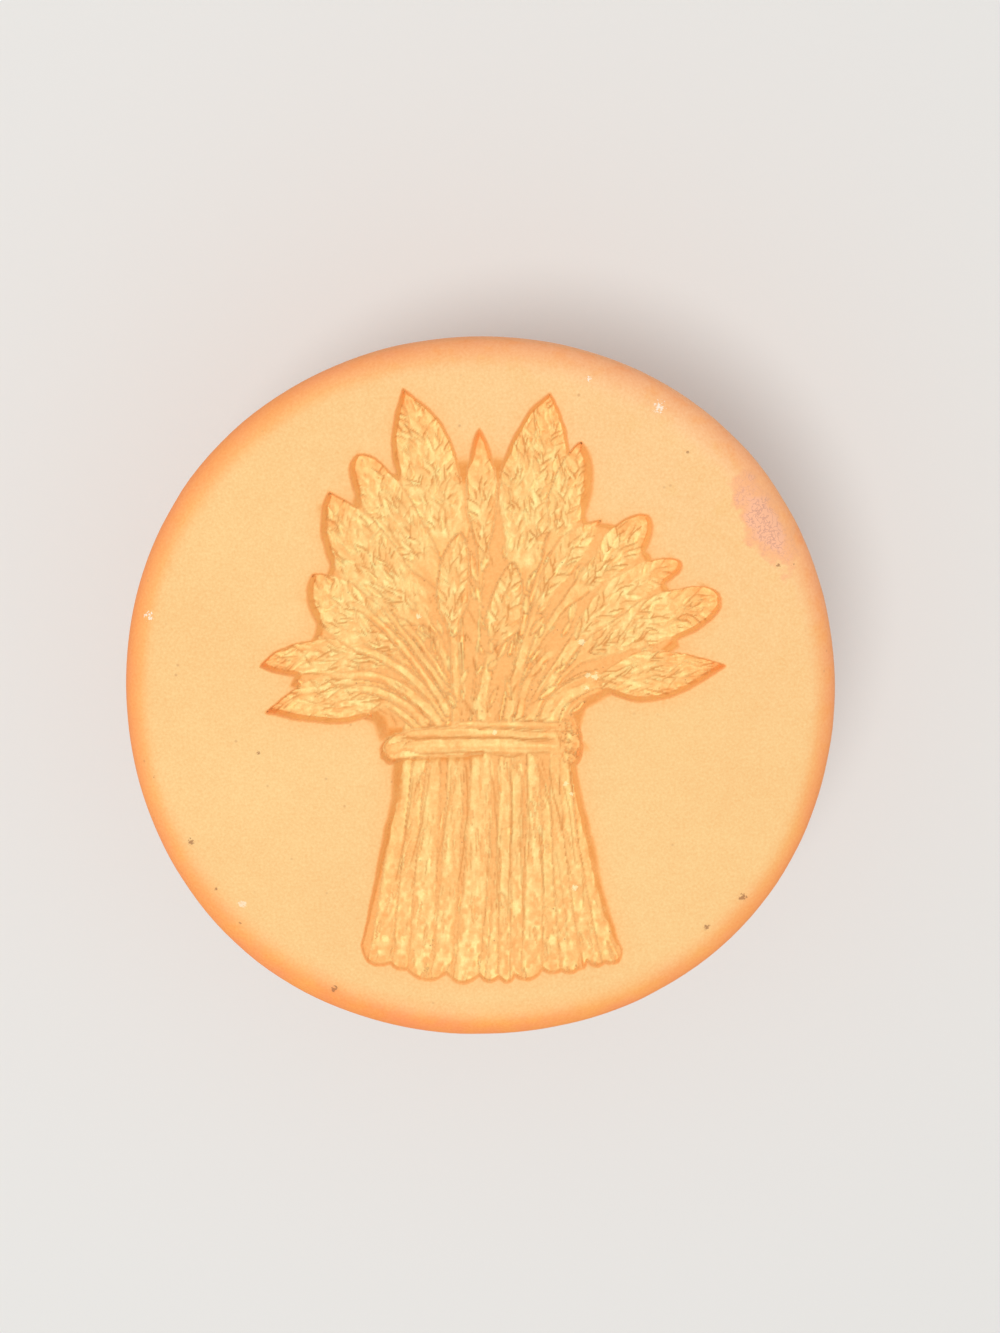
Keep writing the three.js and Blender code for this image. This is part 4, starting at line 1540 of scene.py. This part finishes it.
# %% Colour the head by its relief
def colour_relief(recipe, sunk):
    """Bare land with painted shade on turned edges, on the rim and round the sheaf, and paler towards the
    upper right; pressed ground with painted shade on its walls; then crests partly painted as highlight,
    and lines of painted crease shade.
    """
    steep, crest, line, wall = (
        recipe.attribute(name) for name in ("steep", "crest", "line", "wall")
    )
    # Painted shade: a deeper orange wherever the clay turns away from the face
    turned = recipe.node("ShaderNodeValToRGB", {"stops": TURNED_SHADE_STOPS}, {0: steep})
    patches = ((recipe.noise(recipe.place, 0.4, 3.0) - 0.5) * 3.5 + 0.5).clamped()
    # Painted shade of the rounded rim, mottled orange and pink
    turned = recipe.mixed(recipe.attribute("outer") * 0.8, turned, recipe.mixed(patches, RIM_SHADE_ORANGE, RIM_SHADE_PINK))
    # Paler pink towards the upper right
    paling = recipe.attribute("dusted") * ((recipe.mottle - 0.5) * 2.5 + 1.0).clamped()
    turned = recipe.mixed(paling, turned, PALE_SIDE_TONE)
    patchy = ((recipe.clouds - 0.5) * 3.0 + 0.75).clamped()
    # Painted shade round the sheaf
    shaded_near_sheaf = recipe.mixed(recipe.attribute("haze") * patchy, turned, NEAR_SHEAF_SHADE)
    uneven = ((recipe.noise(recipe.place, 0.6, 3.0) - 0.5) * 3.2 + 0.9).clamped()
    # Painted shade on the walls; the steepest walls get a lighter painted colour
    walled = (wall * uneven + (steep - 0.2).clamped() * 0.8).clamped()
    painted_wall_shade = recipe.mixed(((steep - 0.25) * 2.2).clamped(), WALL_SHADE, STEEP_WALL_PAINTED_LIGHT)
    pressed = recipe.mixed(walled, GROUND_TONE, painted_wall_shade)
    recipe.colour = recipe.mixed(sunk, shaded_near_sheaf, pressed)

    # Crests laid paler where they lie flat: partly paler clay, partly painted highlight
    stretched = recipe.vectors("MULTIPLY", recipe.place, (1, 0.45, 1))
    blotches = recipe.noise(stretched, 1.9, 4.0, 0.62)
    level = (1.25 - steep * 3.5).clamped()
    paleness = (crest * (0.95 + (blotches - 0.5) * 3.0) * level).clamped()
    recipe.lay(PALE_CREST_AND_HIGHLIGHT, paleness)
    # Lines of painted crease shade
    recipe.lay(CREASE_SHADE, line * 0.7)


head_clay = Clay("pressed_clay", None)
sunk = head_clay.attribute("sunk")
colour_relief(head_clay, sunk)
head_clay.vary(0.14, 0.1, 0.38)
head_clay.pepper(0.35)
print("nodes after the relief:", len(head_clay.tree.nodes))

# %% Add painted shade in pits, the scorch, chips, dark grains and painted highlights, and fire the head
def paint_pit_shade(recipe, sunk):
    """Painted shade of tiny pits here and there in the hollows."""
    pits = recipe.node("ShaderNodeTexVoronoi", {}, {"Vector": recipe.place, "Scale": 1.1})
    pit = ((0.085 - pits) * 20).clamped() * ((recipe.noise(recipe.place, 0.6, 0.0) - 0.5) * 10).clamped()
    recipe.lay(SPECK, pit * sunk * 0.7)


def scorch(recipe):
    """A long pink spot with a pinker heart, threaded by darker veins."""
    local = recipe.node(
        "ShaderNodeMapping", {"vector_type": "TEXTURE"},
        {"Vector": recipe.place, "Location": SCORCH_PLACE + (FACE_HEIGHT,),
         "Rotation": (0, 0, SCORCH_TURN), "Scale": SCORCH_SIZE + (SCORCH_REACH_DOWN,)},
    )
    away = recipe.length(local)
    ragged = (recipe.noise(recipe.place, 0.9, 4.0) - 0.5) * 1.3
    scorched = ((1.0 - away + ragged) * 4.5).clamped()
    heart = ((0.76 - away + ragged) * 3.5).clamped()
    recipe.lay(SCORCH, scorched * 0.85)
    recipe.lay(SCORCH_HEART, heart * 0.75)
    veins = (recipe.noise(recipe.place, 2.6, 2.0) - 0.5).math("ABSOLUTE")
    vein = ((0.045 - veins) * 30).clamped() * (0.25 + heart * 0.75)
    recipe.lay(SCORCH_VEIN, scorched * vein * 0.7)


def add_marks(recipe, sunk):
    """Pale chips and dark grains on the bare face, and painted highlights in the hollows."""
    for x, y, size, strength in CHIPS:
        recipe.lay(CHIP, recipe.spot(x, y, FACE_HEIGHT, size) * strength)
    for x, y, size in GRAINS:
        recipe.lay(GRIT, recipe.spot(x, y, FACE_HEIGHT, size) * GRIT_STRENGTH)
    # Painted highlights in the hollows
    for x, y, size in GLINTS:
        glint = recipe.spot(x, y, FACE_HEIGHT - GLINT_DEPTH, size, GLINT_RAGGED, GLINT_TALL)
        recipe.lay(GLINT, glint * sunk * GLINT_STRENGTH)


paint_pit_shade(head_clay, sunk)
scorch(head_clay)
add_marks(head_clay, sunk)
head.data.materials.append(head_clay.fire())
print("nodes of the head's clay:", len(head_clay.tree.nodes))

# %% Fire the knob and the slip
knob_recipe = Clay("turned_clay", clay(243, 181, 113))
knob_recipe.vary(0.35, 0.2, 0.16)
knob_recipe.pepper(0.5)
knob.data.materials.append(knob_recipe.fire())
slip_recipe = Clay("slip_clay", clay(236, 168, 102))
slip_recipe.vary(0.35, 0.25, 0.16)
slip_recipe.pepper(0.5)
slip.data.materials.append(slip_recipe.fire())

# %% [markdown]
# ## The table and the light
# A plain pale table and one broad lamp close to the camera, a little to its left, light the
# face as it was photographed: nearly straight on, with a soft shadow to the upper right. The
# sky is an even pale light that keeps the hollows open. The table reaches so far that its edge
# stays out of sight behind the stamp.

# %% Lay the floor
FLOOR_SIZE = 30000

floor_bm = bmesh.new()
bmesh.ops.create_grid(floor_bm, x_segments=4, y_segments=4, size=FLOOR_SIZE / 2)
floor_mesh = bpy.data.meshes.new("floor")
floor_bm.to_mesh(floor_mesh)
floor_bm.free()
floor_mesh.transform(Matrix.Scale(MM, 4))
floor = bpy.data.objects.new("floor", floor_mesh)
bpy.context.scene.collection.objects.link(floor)
floor_recipe = Recipe("pale_floor")
floor_skin = floor_recipe.node(
    "ShaderNodeBsdfPrincipled", {}, {"Base Color": clay(228, 227, 224), "Roughness": 0.9}
)
floor_recipe.node("ShaderNodeOutputMaterial", {}, {"Surface": floor_skin})
floor_mesh.materials.append(floor_recipe.material)

# %% Light the stamp
KEY_DISTANCE = 450
KEY_WAY = Vector((-0.14, 0.02, 0.99)).normalized()
KEY_SIZE = 120
KEY_POWER = 0.83
SKY_STRENGTH = 0.705

key_light = bpy.data.lights.new("key", "AREA")
key_light.shape = "DISK"
key_light.size = KEY_SIZE * MM
key_light.energy = KEY_POWER
key = bpy.data.objects.new("key", key_light)
bpy.context.scene.collection.objects.link(key)
key.location = (face_centre + KEY_WAY * KEY_DISTANCE) * MM
key.rotation_euler = KEY_WAY.to_track_quat("Z", "Y").to_euler()

world = bpy.data.worlds.new("sky")
bpy.context.scene.world = world
world.use_nodes = True
world.node_tree.nodes["Background"].inputs["Color"].default_value = (1, 1, 1, 1)
world.node_tree.nodes["Background"].inputs["Strength"].default_value = SKY_STRENGTH
bpy.context.scene.view_settings.view_transform = "Standard"
